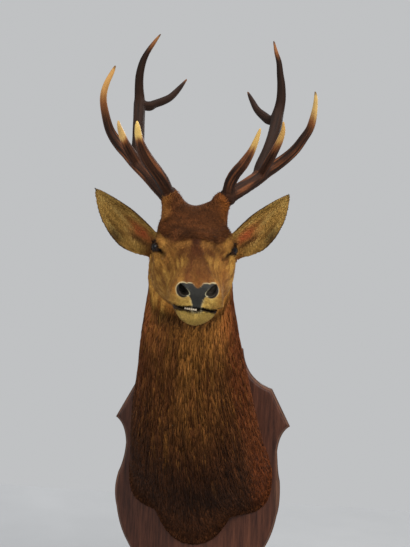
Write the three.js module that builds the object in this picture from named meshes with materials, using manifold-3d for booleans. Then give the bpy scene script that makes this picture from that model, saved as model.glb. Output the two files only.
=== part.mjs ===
// Mounted red deer stag: head and neck on a shield-shaped wall board.
// Millimetres, +Z up. The board's flat back lies in the plane y = 0 and hangs on
// the wall; the stag looks along -Y. The origin is the middle of the board's back.
import * as THREE from "three";
import { mergeVertices } from "three/addons/utils/BufferGeometryUtils.js";
import Module from "manifold-3d";

const wasm = await Module();
wasm.setup();

// ---------------------------------------------------------------- driving sizes
const GAP = 0.3;                    // clearance between touching pieces
const FINE = 0.2;                   // facets flatter than this are merged
const BOARD_T = 25;                 // board thickness
const BOARD_EDGE = 9;               // width of the moulded front edge
const BOARD = { horn: [237, 109], waist: [206, 40], belly: [226, -82], flank: [184, -230],
                point: [0, -352], side: [185, 207], top: [103, 311], crown: 342 };

const RING = 28;                    // points round each body section
const HEAD_PITCH = 13;              // palate line below the horizontal, degrees
const HEAD_YAW = 7.5;                // head turned towards +X, degrees
const SKULL_MID = [1, -418, 570];   // middle of the skull, between the brows
const HEAD_LEAN = -6;               // back of the head set over towards the neck
const EYE_R = 17;                   // glass eye radius
const EYE_OUT = 78.5, EYE_MID = -2;   // eye centre out from the head's own middle, and that middle
const EYE_FORE = 4, EYE_LOW = -4.5;   // eye centre before and below the skull middle
const SKIRT = { half: 190, depth: 130, top: 285, lobe: 85, lobeHalf: 100, lobeX: -15 };

// Neck sections from the board up to the back of the skull:
// [nape y, nape z, throat y, throat z, half width, centre x, place of the widest
// point down the section, upper fullness]
const NECK = [
  [-25.3, 285, -25.3, -215, 190, 2, 0.62, 0.50],
  [-46, 318, -120, -150, 180, -2, 0.62, 0.52],
  [-74, 358, -203, -66, 166, -8, 0.60, 0.56],
  [-103, 402, -268, 22, 151, -13, 0.56, 0.62],
  [-134, 450, -316, 110, 133, -16, 0.53, 0.68],
  [-166, 500, -350, 200, 120, -20, 0.5, 0.73],
  [-200, 552, -372, 290, 108, -20, 0.5, 0.73],
  [-236, 604, -384, 362, 101, -17, 0.5, 0.73],
];

// Head sections from the nape to the nose, in the head's own frame (s forward along
// the palate line, n up): [top s, top n, bottom s, bottom n, brow half width, its
// place down the section, widest half width, its place, jaw half width]
const HEAD = [
  [-160, 48, 5, -153, 58, 0.11, 98, 0.50, 78],
  [-130, 70, 22, -148, 56, 0.03, 95, 0.50, 80],
  [-102, 78, 38, -141, 56, -0.05, 92, 0.48, 79],
  [-70, 77, 50, -135, 58, -0.03, 91, 0.43, 76],
  [-38, 66, 60, -131, 61, 0.06, 91, 0.38, 71],
  [-6, 52, 70, -128, 61, 0.11, 89, 0.36, 65],
  [24, 42, 82, -126, 52, 0.12, 80, 0.42, 60],
  [54, 33, 98, -124, 41, 0.11, 71, 0.46, 54],
  [86, 23, 118, -123, 35, 0.11, 62, 0.48, 50],
  [118, 12, 138, -126, 32, 0.11, 59, 0.50, 50],
  [150, 2, 158, -130, 31, 0.11, 58, 0.52, 51],
  [178, -7, 176, -132, 33, 0.11, 57, 0.50, 51],
  [200, -15, 192, -125, 35, 0.11, 54, 0.46, 46],
  [215, -24, 206, -110, 33, 0.12, 46, 0.42, 37],
  [225, -35, 217, -88, 25, 0.13, 34, 0.42, 25],
];
const NOSE_TIP = [229, -56];
const MOUTH = { corner: [164, -96], front: [215, -84], lip: 4.2 };   // slit line, s and n
const NECK_STEPS = 2, HEAD_STEPS = 2;

// Ear outline: half widths above and below its axis along its length (0 base, 1 tip)
const EAR = {
  at: [-0.16, 0.0, 0.11, 0.27, 0.42, 0.55, 0.7, 0.83, 0.94, 1.0],
  upper: [17, 24, 32, 34, 33, 30, 23, 15, 7, 1.2],
  lower: [17, 26, 38, 51, 53, 49, 40, 27, 12, 1.2],
  cup: [12, 17, 22, 24, 22, 19, 15, 9, 4, 1.0],
  wall: 6.5, rim: 2.6,
};
const EARS = {
  ear_right: { base: [-98, -345, 563], tip: [-239, -382, 698], face: [-0.28, -0.95, -0.12], bend: 7, hang: 1.06 },
  ear_left: { base: [81, -345, 565], tip: [206, -382, 700], face: [0.36, -0.93, -0.12], bend: 7, hang: 0.95 },
};

// Antlers, one tine to a row of [x, y, z, radius], each from its root to its tip.
const ANTLERS = {
  right: {
    pedicle: [[-58, -334, 640, 27], [-67, -343, 681, 23]],
    stem: [[-67, -343, 681, 23], [-74, -341, 687.5, 24.5], [-83, -339, 695, 20], [-96, -335, 706, 18.7],
      [-128, -322, 738, 17.7], [-159, -305, 766, 17.3], [-184, -292, 791, 16.3]],
    tray: [[-207, -290, 812, 14.4], [-224, -298, 835, 12], [-232, -312, 857, 10.5], [-237, -340, 893, 8.7],
      [-235, -358, 916, 7.8], [-226, -372, 939, 6.7], [-211, -385, 963, 4.8], [-203, -392, 977, 1.5]],
    bez: [[-156, -312, 764, 13.2], [-169, -335, 785, 12.6], [-178, -358, 803, 10.3], [-184, -385, 824, 7.5],
      [-186, -405, 837, 4.8], [-186, -417, 847, 1.5]],
    beam: [[-158, -303, 770, 13], [-163, -275, 802, 15.1], [-169, -243, 838, 14.5], [-177, -200, 883, 14.7],
      [-186, -150, 933, 14.8]],
    front: [[-188, -140, 955, 13.2], [-189, -148, 982, 11.3], [-187, -158, 1011, 10.2], [-179, -168, 1041, 8.7],
      [-166, -177, 1065, 6.7], [-148, -186, 1088, 4.7], [-133, -192, 1107, 1.6]],
    back: [[-183, -150, 936, 11.5], [-165, -130, 937, 12.2], [-152, -112, 947, 10.2], [-134, -92, 959, 10.2],
      [-116, -72, 975, 9.1], [-97, -50, 1003, 6.7], [-79, -36, 1031, 1.8]],
    brow: [[-76, -348, 694, 14], [-82, -372, 711, 15.6], [-93, -398, 730, 15.3], [-105, -422, 747, 14.6],
      [-115, -446, 763, 13.6], [-122, -470, 781, 11.2], [-125, -494, 800, 8.7], [-125, -512, 817, 6.2],
      [-125, -521, 828, 2.4]],
  },
  left: {
    pedicle: [[50, -334, 642, 27], [59, -343, 682, 23]],
    stem: [[60, -343, 682, 23], [67, -341, 687.5, 24.5], [76, -338, 695, 19.3], [86, -335, 702, 17.6],
      [107, -322, 719, 16.6], [131, -305, 741, 16.3], [149, -297, 757, 15.4]],
    tray: [[169, -292, 771, 14.2], [194, -297, 790, 13], [216, -305, 811, 12], [233, -318, 834, 10.7],
      [246, -332, 854, 9.5], [252, -350, 875, 8.2], [255, -368, 898, 5.9], [255, -382, 916, 4.2],
      [253, -392, 929, 1.5]],
    bez: [[139, -307, 750, 11.4], [153, -335, 772, 10.7], [166, -360, 793, 9.6], [178, -385, 815, 7.9],
      [185, -405, 835, 5.4], [185, -420, 854, 1.6]],
    beam: [[131, -305, 743, 13], [137, -283, 770, 15.3], [150, -255, 808, 15], [159, -222, 844, 14.7],
      [166, -180, 886, 15], [169, -150, 919, 14.7]],
    front: [[173, -142, 940, 13.4], [176, -145, 964, 12.1], [175, -152, 993, 10.5], [171, -160, 1021, 8.6],
      [167, -168, 1048, 7], [159, -176, 1071, 5], [152, -184, 1097, 2]],
    back: [[168, -152, 911, 11.5], [150, -135, 908, 12], [134, -118, 921, 11], [115, -98, 941, 8.8],
      [100, -72, 969, 6.8], [91, -52, 988, 4.5], [86, -40, 1000, 1.8]],
    brow: [[64, -348, 690, 13], [69, -366, 716, 13.6], [81, -385, 738, 13.1], [100, -408, 759, 11.6],
      [117, -432, 783, 8.4], [127, -450, 804, 6.3], [134, -464, 822, 3.7], [136, -470, 829, 1.4]],
  },
};
const TUBE_SIDES = 10;

// ---------------------------------------------------------------- helpers
const V = (a) => new THREE.Vector3(a[0], a[1], a[2]);
const rad = THREE.MathUtils.degToRad;
const mix = (a, b, t) => a + (b - a) * t;

// Smooth interpolation of rows of numbers, passing through every row.
function spline(rows, t) {
  const n = rows.length - 1, i = Math.min(Math.floor(t), n - 1), u = t - i;
  const a = rows[Math.max(i - 1, 0)], b = rows[i], c = rows[i + 1], d = rows[Math.min(i + 2, n)];
  return b.map((_, k) => 0.5 * (2 * b[k] + (c[k] - a[k]) * u + (2 * a[k] - 5 * b[k] + 4 * c[k] - d[k]) * u * u
    + (3 * b[k] - a[k] - 3 * c[k] + d[k]) * u * u * u));
}

// Closed solid through a list of equal-sized rings; a cap is a flat or pointed fan.
function loft(rings, startTip = null, endTip = null) {
  const n = rings[0].length, pos = [], idx = [];
  for (const ring of rings) for (const p of ring) pos.push(p.x, p.y, p.z);
  for (let r = 0; r < rings.length - 1; r++) for (let k = 0; k < n; k++) {
    const a = r * n + k, b = r * n + (k + 1) % n;
    idx.push(a, b, a + n, b, b + n, a + n);
  }
  const cap = (r, tip, flip) => {
    const c = tip ?? rings[r].reduce((s, p) => s.add(p), new THREE.Vector3()).divideScalar(n);
    const m = pos.length / 3;
    pos.push(c.x, c.y, c.z);
    for (let k = 0; k < n; k++) {
      const a = r * n + k, b = r * n + (k + 1) % n;
      flip ? idx.push(a, b, m) : idx.push(b, a, m);
    }
  };
  cap(0, startTip, false);
  cap(rings.length - 1, endTip, true);
  const g = new THREE.BufferGeometry();
  g.setAttribute("position", new THREE.Float32BufferAttribute(pos, 3));
  g.setIndex(idx);
  return outward(g);
}

function outward(g) {
  const p = g.attributes.position, ix = g.index.array;
  let vol = 0;
  const a = new THREE.Vector3(), b = new THREE.Vector3(), c = new THREE.Vector3();
  for (let i = 0; i < ix.length; i += 3) {
    a.fromBufferAttribute(p, ix[i]); b.fromBufferAttribute(p, ix[i + 1]); c.fromBufferAttribute(p, ix[i + 2]);
    vol += a.dot(b.cross(c));
  }
  if (vol < 0) for (let i = 0; i < ix.length; i += 3) [ix[i + 1], ix[i + 2]] = [ix[i + 2], ix[i + 1]];
  return g;
}

function solid(geometry) {
  let g = geometry.clone();
  g.deleteAttribute("normal"); g.deleteAttribute("uv");
  g = mergeVertices(g, 1e-3);
  return new wasm.Manifold(new wasm.Mesh({ numProp: 3,
    vertProperties: new Float32Array(g.attributes.position.array), triVerts: new Uint32Array(g.index.array) }));
}

function geometryOf(m) {
  const mesh = m.simplify(FINE).getMesh(), g = new THREE.BufferGeometry();
  g.setAttribute("position", new THREE.Float32BufferAttribute(mesh.vertProperties, 3));
  g.setIndex(Array.from(mesh.triVerts));
  return g;
}

// The biggest connected body of a solid.
function mainBody(m) {
  return m.decompose().reduce((best, p) => (!best || p.volume() > best.volume() ? p : best), null);
}

// Round tube through [x, y, z, radius] rows, with rings square to the path.
function tubeRings(rows, steps, grow = 0, sides = TUBE_SIDES) {
  const out = [], n = (rows.length - 1) * steps;
  let side = null;
  for (let i = 0; i <= n; i++) {
    const t = i / steps, c = spline(rows, t);
    const t0 = spline(rows, Math.max(t - 0.05, 0)), t1 = spline(rows, Math.min(t + 0.05, rows.length - 1));
    const dir = V(t1).sub(V(t0)).normalize();
    side = (side ?? new THREE.Vector3(0.3, 1, 0.1)).clone();
    side.addScaledVector(dir, -side.dot(dir)).normalize();
    const up = dir.clone().cross(side);
    const ring = [];
    for (let k = 0; k < sides; k++) {
      const a = (k / sides) * 2 * Math.PI, r = c[3] + grow;
      ring.push(V(c).addScaledVector(side, Math.cos(a) * r).addScaledVector(up, Math.sin(a) * r));
    }
    out.push(ring);
  }
  return out;
}
const tube = (rows, steps = 1, grow = 0) => solid(loft(tubeRings(rows, steps, grow)));

const group = new THREE.Group();
function place(name, geometry, color, roughness, metalness = 0) {
  const mesh = new THREE.Mesh(geometry, new THREE.MeshStandardMaterial({ color, roughness, metalness }));
  mesh.name = name;
  group.add(mesh);
}

// ---------------------------------------------------------------- board
function boardShape(inset) {
  const B = BOARD, s = new THREE.Shape();
  const half = [];
  const quad = (p, c, q, n) => {
    for (let i = 1; i <= n; i++) {
      const t = i / n, u = 1 - t;
      half.push([u * u * p[0] + 2 * u * t * c[0] + t * t * q[0], u * u * p[1] + 2 * u * t * c[1] + t * t * q[1]]);
    }
  };
  half.push([0, B.crown]);
  quad([0, B.crown], [62, B.crown - 2], B.top, 5);
  quad(B.top, [B.top[0] + 8, B.side[1] + 22], B.side, 6);
  quad(B.side, [210, 160], B.horn, 2);
  quad(B.horn, [B.waist[0] + 4, B.waist[1] + 52], B.waist, 5);
  quad(B.waist, [B.waist[0] + 3, B.waist[1] - 50], [220, -40], 4);
  quad([220, -40], [B.belly[0] + 4, B.belly[1] - 10], [218, -135], 4);
  quad([218, -135], [209, -190], B.flank, 3);
  quad(B.flank, [136, -318], [34, -340], 7);
  quad([34, -340], [14, -344], B.point, 2);
  // below the waist the hand-sawn shield leans a little to -X
  const lean = (z) => { const t = Math.min(1, Math.max(0, (25 - z) / 120)); return -6.5 * t * t * (3 - 2 * t); };
  const pts = [...half, ...half.slice(1, -1).reverse().map(([x, z]) => [-x, z])].map(([x, z]) => [x + lean(z), z]);
  pts.forEach(([x, z], i) => {
    const a = pts[(i + pts.length - 1) % pts.length], b = pts[(i + 1) % pts.length];
    const d = Math.hypot(b[0] - a[0], b[1] - a[1]);
    const nx = -(b[1] - a[1]) / d, nz = (b[0] - a[0]) / d;       // outward normal of the clockwise outline
    const px = x - nx * inset, pz = z - nz * inset;
    i === 0 ? s.moveTo(px, pz) : s.lineTo(px, pz);
  });
  s.closePath();
  return s;
}
{
  // The outline is pulled in by the bevel, so that the bevelled body has the true outline.
  const g = new THREE.ExtrudeGeometry(boardShape(BOARD_EDGE), { depth: BOARD_T - 8, steps: 1, curveSegments: 1,
    bevelEnabled: true, bevelThickness: 8, bevelSize: BOARD_EDGE, bevelSegments: 2, bevelOffset: 0 });
  g.rotateX(Math.PI / 2);                      // shape y -> z, depth -> -y
  // keep the bevel on the front only: the back is cut flat at y = 0
  let m = solid(g);
  const slab = (y0, y1) => {
    const b = new THREE.BoxGeometry(700, y1 - y0, 900);
    b.translate(0, (y0 + y1) / 2, 0);
    return solid(b);
  };
  m = m.intersect(slab(-BOARD_T, 0));
  place("board", geometryOf(m), 0x50302a, 0.55);
}

// ---------------------------------------------------------------- neck and head
const cp = Math.cos(rad(HEAD_PITCH)), sp = Math.sin(rad(HEAD_PITCH));
const cy = Math.cos(rad(HEAD_YAW)), sy = Math.sin(rad(HEAD_YAW));
const FWD = new THREE.Vector3(cp * sy, -cp * cy, -sp);
const UP = new THREE.Vector3(sp * sy, -sp * cy, cp);
const LAT = new THREE.Vector3(cy, sy, 0);
const headPoint = (s, l, n) => V(SKULL_MID).addScaledVector(FWD, s).addScaledVector(LAT, l).addScaledVector(UP, n);

// Stations: top point, bottom point, lateral direction angle, half widths and places.
const stations = NECK.map(([ty, tz, by, bz, w, cx, at, full], i) => {
  const yaw = HEAD_YAW * Math.pow(Math.max(0, (i - 3) / 5), 1.5);
  return [cx, ty, tz, cx, by, bz, yaw, full * w, 0.15, w, at, 0.78 * w, 0.84];
});
for (const [i, [ts, tn, bs, bn, brow, browAt, wide, at, jaw]] of HEAD.entries()) {
  const lean = HEAD_LEAN * Math.max(0, 1 - i / 4);
  const t = headPoint(ts, lean, tn), b = headPoint(bs, lean, bn);
  stations.push([t.x, t.y, t.z, b.x, b.y, b.z, HEAD_YAW, brow, browAt, wide, at, jaw, 0.83]);
}

// Skirt of the hide on the board: a rounded hide with a deep lobe at the brisket.
function skirtPoint(k) {
  const a = (k / RING) * 2 * Math.PI, sn = Math.sin(a), cs = Math.cos(a), S = SKIRT;
  const sgn = Math.sign(sn);
  if (cs > 0) {
    const z = S.top * Math.pow(cs, 1.1), v = z / S.top;
    const w = 1 - 0.42 * Math.pow(v, 0.9) * (1 + 0.35 * Math.sin(Math.PI * v));
    return new THREE.Vector3(2 + sgn * S.half * Math.pow(Math.abs(sn), 0.9) * w, NECK[0][0], z);
  }
  const x = sgn * S.half * Math.pow(Math.abs(sn), 0.8);
  const lobe = S.lobe * Math.max(0, 1 - Math.pow(Math.abs(x - S.lobeX) / S.lobeHalf, 2.5));
  return new THREE.Vector3(x + 2, NECK[0][0],
    -S.depth * Math.pow(Math.max(0, 1 - Math.pow(Math.abs(x) / S.half, 4)), 0.25) - lobe);
}

function sectionAt(t) {
  const c = spline(stations, t);
  const T = new THREE.Vector3(c[0], c[1], c[2]), Bm = new THREE.Vector3(c[3], c[4], c[5]);
  const L = new THREE.Vector3(Math.cos(rad(c[6])), Math.sin(rad(c[6])), 0);
  const at = (f, w) => T.clone().lerp(Bm, f).addScaledVector(L, w);
  const half = [[c[8], c[7]], [c[10], c[9]], [c[12], c[11]]];
  const key = [T, ...half.map(([f, w]) => at(f, w)), Bm, ...half.slice().reverse().map(([f, w]) => at(f, -w))];
  const curve = new THREE.CatmullRomCurve3(key, true, "centripetal");
  const ring = [];
  for (let k = 0; k < RING; k++) ring.push(curve.getPoint(k / RING));
  if (t < 2.5) {
    const w = t <= 0 ? 1 : 0.75 * Math.pow(1 - t / 2.5, 1.6);
    ring.forEach((p, k) => {
      const q = skirtPoint(k), own = new THREE.Vector3(p.x, p.y, p.z);
      // the skirt's outline is carried forward in the section's own plane
      const f = (SKIRT.top - q.z) / (SKIRT.top - NECK[0][3]);
      const base = T.clone().lerp(Bm, f);
      const r = new THREE.Vector3(mix(p.x, q.x * c[9] / SKIRT.half, 1), base.y, base.z);
      p.copy(own.lerp(t <= 0 ? q : r, w));
    });
  }
  return ring;
}
const CUT = NECK.length;                         // station where the neck meets the head
const neckRings = [], headRings = [];
for (let i = 0; i <= CUT * NECK_STEPS; i++) neckRings.push(sectionAt(i / NECK_STEPS));
for (let i = 0; i <= (HEAD.length - 1) * HEAD_STEPS; i++) headRings.push(sectionAt(CUT + i / HEAD_STEPS));
// thin cut between neck and head, square to the cut
{
  const T = V(stations[CUT].slice(0, 3)), B = V(stations[CUT].slice(3, 6));
  const n = LAT.clone().cross(B.clone().sub(T)).normalize();
  if (n.dot(FWD) < 0) n.negate();
  headRings[0] = headRings[0].map((p) => p.clone().addScaledVector(n, GAP));
}
const neck = solid(loft(neckRings));
const noseTip = headPoint(NOSE_TIP[0], 0, NOSE_TIP[1]);
let skull = solid(loft(headRings, null, noseTip));
for (const side of ["right", "left"]) skull = skull.add(tube(ANTLERS[side].pedicle));

// Grown copy of a solid, used to cut its neighbours back by the clearance.
function grown(m, by) {
  const g = geometryOf(m);
  g.computeVertexNormals();
  const p = g.attributes.position, n = g.attributes.normal;
  for (let i = 0; i < p.count; i++) {
    p.setXYZ(i, p.getX(i) + n.getX(i) * by, p.getY(i) + n.getY(i) * by, p.getZ(i) + n.getZ(i) * by);
  }
  g.deleteAttribute("normal");
  return new wasm.Manifold(new wasm.Mesh({ numProp: 3,
    vertProperties: new Float32Array(p.array), triVerts: new Uint32Array(g.index.array) }));
}

// Eyes, set in sockets of the head
const eyeCentre = (side) => headPoint(EYE_FORE, EYE_MID + side * EYE_OUT, EYE_LOW);
const ball = (side, r) => {
  const g = new THREE.SphereGeometry(r, 12, 8);
  const c = eyeCentre(side);
  g.translate(c.x, c.y, c.z);
  return g;
};
for (const side of [-1, 1]) skull = skull.subtract(solid(ball(side, EYE_R + GAP)));

// Mouth slit: a thin wedge between the lips, opening forwards, with the lower front
// teeth showing in it as part of the jaw.
function headBox(s0, s1, l0, l1, n0, n1, tilt = 0) {
  const g = new THREE.BoxGeometry(1, 1, 1);
  const p = g.attributes.position;
  for (let i = 0; i < p.count; i++) {
    const s = p.getX(i) < 0 ? s0 : s1, l = p.getY(i) < 0 ? l0 : l1;
    const n = (p.getZ(i) < 0 ? n0 : n1) + (s - s0) * tilt;
    const q = headPoint(s, l, n);
    p.setXYZ(i, q.x, q.y, q.z);
  }
  return solid(outward(mergeVertices((g.deleteAttribute("normal"), g.deleteAttribute("uv"), g), 1e-4)));
}
const tilt = (MOUTH.front[1] - MOUTH.corner[1]) / (MOUTH.front[0] - MOUTH.corner[0]);
const slit = headBox(MOUTH.corner[0], 260, -80, 80, MOUTH.corner[1] - MOUTH.lip / 2, MOUTH.corner[1] + MOUTH.lip / 2, tilt);
const jawCut = headBox(MOUTH.corner[0] - 1.2, MOUTH.corner[0] + 0.1, -80, 80, -220, MOUTH.corner[1] + MOUTH.lip / 2, 0);
const teeth = headBox(196, 205, -15, 13, -94, -84.5, 0.06);
const opened = skull.subtract(slit).subtract(jawCut);
const pieces = opened.decompose().sort((a, b) => b.volume() - a.volume());
const headSolid = pieces[0];
const jawSolid = mainBody(pieces[1].add(teeth.subtract(grown(pieces[0], GAP))));

place("neck", geometryOf(neck), 0x5a3a20, 0.95);
place("head", geometryOf(headSolid), 0x8a6a38, 0.95);
place("lower_jaw", geometryOf(jawSolid), 0xb89a5e, 0.95);
place("eye_right", geometryOf(solid(ball(-1, EYE_R))), 0x15100c, 0.1);
place("eye_left", geometryOf(solid(ball(1, EYE_R))), 0x15100c, 0.1);

// ---------------------------------------------------------------- ears
const bigHead = grown(skull, GAP + 0.05), bigNeck = grown(neck, GAP + 0.05);
for (const [name, E] of Object.entries(EARS)) {
  const base = V(E.base), tip = V(E.tip), axis = tip.clone().sub(base), len = axis.length();
  axis.normalize();
  const face = V(E.face);
  face.addScaledVector(axis, -face.dot(axis)).normalize();
  const up = face.clone().cross(axis);
  if (up.z < 0) up.negate();
  const rows = EAR.at.map((u, i) => [u, EAR.upper[i], EAR.lower[i] * E.hang, EAR.cup[i]]);
  const rings = [];
  const steps = 2, n = (rows.length - 1) * steps;
  for (let i = 0; i <= n; i++) {
    const [u, hu, hl, cup] = spline(rows, i / steps);
    const c = base.clone().addScaledVector(axis, u * len).addScaledVector(face, E.bend * u * u);
    const ring = [], m = 7;
    const wall = EAR.wall * Math.min(1, 0.35 + cup / 14);
    // back surface from the upper rim to the lower one, then the hollow front surface back
    for (let k = 0; k <= m; k++) {
      const v = 1 - 2 * k / m, w = v > 0 ? v * hu : v * hl, dip = cup * (1 - v * v);
      const back = dip + mix(wall, EAR.rim / 2, v * v);
      ring.push(c.clone().addScaledVector(up, w).addScaledVector(face, cup * 0.5 - back));
    }
    for (let k = m; k >= 0; k--) {
      const v = 1 - 2 * k / m, w = (v > 0 ? v * hu : v * hl) * 0.97, dip = cup * (1 - v * v);
      ring.push(c.clone().addScaledVector(up, w).addScaledVector(face, cup * 0.5 - dip + EAR.rim / 2 * v * v));
    }
    rings.push(ring);
  }
  const ear = mainBody(solid(loft(rings)).subtract(bigHead).subtract(bigNeck));
  place(name, geometryOf(ear), 0xa08a50, 0.95);
}

// ---------------------------------------------------------------- antlers
for (const [side, A] of Object.entries(ANTLERS)) {
  // stem and tray follow one line, as do beam and front tine; each pair is parted by a thin cut
  const chain = (first, second, steps1, steps2, grow = 0) => {
    const rows = [...first, ...second];
    const join = first.length - 1;
    const all = tubeRings(rows, 2, grow);
    const a = all.slice(0, join * 2 + 1), b = all.slice(join * 2).map((r) => r.map((p) => p.clone()));
    const dir = all[join * 2 + 1][0].clone().sub(all[join * 2 - 1][0]).normalize();
    b[0] = b[0].map((p) => p.addScaledVector(dir, GAP));
    return [solid(loft(a)), solid(loft(b))];
  };
  const [stem0, tray0] = chain(A.stem, A.tray);
  const [beam0, front0] = chain(A.beam, A.front);
  const stem = mainBody(stem0.subtract(bigHead));
  const bigStem = grown(stem0, GAP), bigTray = grown(tray0, GAP);
  const brow = mainBody(tube(A.brow, 2).subtract(bigStem).subtract(bigHead));
  const bez = mainBody(tube(A.bez, 2).subtract(bigStem).subtract(bigTray));
  const beam = mainBody(beam0.subtract(bigStem).subtract(bigTray).subtract(grown(bez, GAP)));
  const back = mainBody(tube(A.back, 2).subtract(grown(beam0, GAP)).subtract(grown(front0, GAP)));
  const put = (n, m) => place(`antler_${side}_${n}`, geometryOf(m), 0x3c2618, 0.6);
  put("stem", stem); put("brow", brow); put("bez", bez); put("tray", tray0);
  put("beam", beam); put("front", front0); put("back", back);
}

export default group;
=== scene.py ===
import math

import bpy
import numpy as np
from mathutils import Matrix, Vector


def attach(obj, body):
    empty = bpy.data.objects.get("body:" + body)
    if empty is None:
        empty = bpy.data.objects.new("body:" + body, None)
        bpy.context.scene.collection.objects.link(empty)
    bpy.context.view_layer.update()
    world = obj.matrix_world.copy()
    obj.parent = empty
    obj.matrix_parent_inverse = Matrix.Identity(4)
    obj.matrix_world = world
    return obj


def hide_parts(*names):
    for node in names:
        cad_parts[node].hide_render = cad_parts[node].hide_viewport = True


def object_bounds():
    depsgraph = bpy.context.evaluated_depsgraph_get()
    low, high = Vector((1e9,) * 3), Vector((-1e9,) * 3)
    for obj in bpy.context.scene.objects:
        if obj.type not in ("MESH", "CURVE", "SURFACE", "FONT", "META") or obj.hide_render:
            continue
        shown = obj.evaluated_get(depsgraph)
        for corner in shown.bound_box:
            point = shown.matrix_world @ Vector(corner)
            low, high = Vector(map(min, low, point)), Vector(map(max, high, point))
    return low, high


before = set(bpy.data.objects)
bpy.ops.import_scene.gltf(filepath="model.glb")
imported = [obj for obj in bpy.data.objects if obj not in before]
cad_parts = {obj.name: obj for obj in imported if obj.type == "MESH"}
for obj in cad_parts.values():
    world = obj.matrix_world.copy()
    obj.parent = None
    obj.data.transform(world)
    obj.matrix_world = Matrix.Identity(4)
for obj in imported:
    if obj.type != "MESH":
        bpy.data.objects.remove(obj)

import openvdb as vdb
from mathutils import Matrix, Vector
from mathutils.geometry import delaunay_2d_cdt
from mathutils.kdtree import KDTree

CAD_BOX = [list(map(float, v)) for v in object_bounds()]
RNG = np.random.default_rng(20240)
MM = 0.001

# ============================================================ camera, light, floor
scene = bpy.context.scene
scene.view_settings.view_transform = "Standard"


def make_camera():
    psi = math.atan(0.0868)
    roll = math.radians(2.5)
    fw = Vector((-math.sin(psi), math.cos(psi), 0))
    rt0 = Vector((math.cos(psi), math.sin(psi), 0))
    up0 = Vector((0, 0, 1))
    rt = rt0 * math.cos(roll) + up0 * math.sin(roll)
    up = up0 * math.cos(roll) - rt0 * math.sin(roll)
    cam = bpy.data.objects.new("camera", bpy.data.cameras.new("camera"))
    scene.collection.objects.link(cam)
    cam.data.sensor_fit = "VERTICAL"
    cam.data.sensor_height = 36.0
    cam.data.sensor_width = 36.0
    cam.data.lens = 36.0 * 846.0 / 547.0
    cam.data.clip_start, cam.data.clip_end = 0.05, 100
    m = Matrix((rt, up, -fw)).transposed().to_4x4()
    m.translation = Vector((0.1887, -2.3, 0.51))
    cam.matrix_world = m
    scene.camera = cam


def area(name, at, to, size, power, colour=(1, 1, 1)):
    light = bpy.data.lights.new(name, "AREA")
    light.shape = "DISK"
    light.size = size
    light.energy = power
    light.color = colour
    o = bpy.data.objects.new(name, light)
    scene.collection.objects.link(o)
    o.location = at
    o.rotation_mode = "QUATERNION"
    o.rotation_quaternion = (Vector(to) - Vector(at)).to_track_quat("-Z", "Y")


def srgb(r, g, b):
    c = np.array([r, g, b], float) / 255
    return np.where(c <= 0.04045, c / 12.92, ((c + 0.055) / 1.055) ** 2.4)


make_camera()
area("key", (1.7, -2.3, 1.9), (0, -0.3, 0.5), 1.5, 64, (1.0, 0.985, 0.96))
area("fill", (-1.9, -2.4, 1.0), (0, -0.3, 0.4), 1.8, 32, (0.97, 0.98, 1.0))
area("glint", (0.75, -2.7, 1.5), (0, -0.4, 0.55), 0.12, 12)
area("top", (0.2, -0.4, 2.9), (0, -0.3, 0.6), 1.6, 26)
area("back", (0.9, 2.4, 1.6), (0, 0, 0.4), 1.8, 26)
world = bpy.data.worlds.new("world")
scene.world = world
world.use_nodes = True
world.node_tree.nodes["Background"].inputs[0].default_value = (0.555, 0.565, 0.575, 1)
world.node_tree.nodes["Background"].inputs[1].default_value = 0.95


# ============================================================ small tools
def smooth(a, b, x):
    t = np.clip((x - a) / (b - a), 0, 1)
    return t * t * (3 - 2 * t)


def unit(v):
    return v / (np.linalg.norm(v, axis=-1, keepdims=True) + 1e-12)


def noise3(p, seed=0):
    """Smooth value noise from -1 to 1 at points p (n, 3)."""
    p = np.asarray(p, float)
    i = np.floor(p).astype(np.int64)
    f = p - i
    f = f * f * (3 - 2 * f)
    out = np.zeros(len(p))
    for dx in (0, 1):
        for dy in (0, 1):
            for dz in (0, 1):
                h = ((i[:, 0] + dx) * 73856093) ^ ((i[:, 1] + dy) * 19349663) ^ ((i[:, 2] + dz) * 83492791) ^ (seed * 2654435761)
                h = (h ^ (h >> 13)) * 1274126177 & 0xFFFFFFFF
                h = (h ^ (h >> 16)) * 2246822519 & 0xFFFFFFFF
                v = ((h ^ (h >> 15)) & 0xFFFFFF) / float(0xFFFFFF) * 2 - 1
                w = (f[:, 0] if dx else 1 - f[:, 0]) * (f[:, 1] if dy else 1 - f[:, 1]) * (f[:, 2] if dz else 1 - f[:, 2])
                out += v * w
    return out


def fractal(p, octaves=3, seed=0):
    out, amp, tot = 0, 1.0, 0
    for k in range(octaves):
        out = out + amp * noise3(np.asarray(p) * 2.03 ** k + 17.3 * k, seed + k)
        tot += amp
        amp *= 0.5
    return out / tot


def spline(rows, t):
    """Catmull-Rom through rows at parameters t."""
    rows = np.asarray(rows, float)
    t = np.atleast_1d(np.asarray(t, float))
    n = len(rows) - 1
    i = np.clip(np.floor(t).astype(int), 0, n - 1)
    u = (t - i)[:, None]
    a, b, c, d = rows[np.maximum(i - 1, 0)], rows[i], rows[i + 1], rows[np.minimum(i + 2, n)]
    return 0.5 * (2 * b + (c - a) * u + (2 * a - 5 * b + 4 * c - d) * u * u + (3 * b - a - 3 * c + d) * u ** 3)


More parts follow.
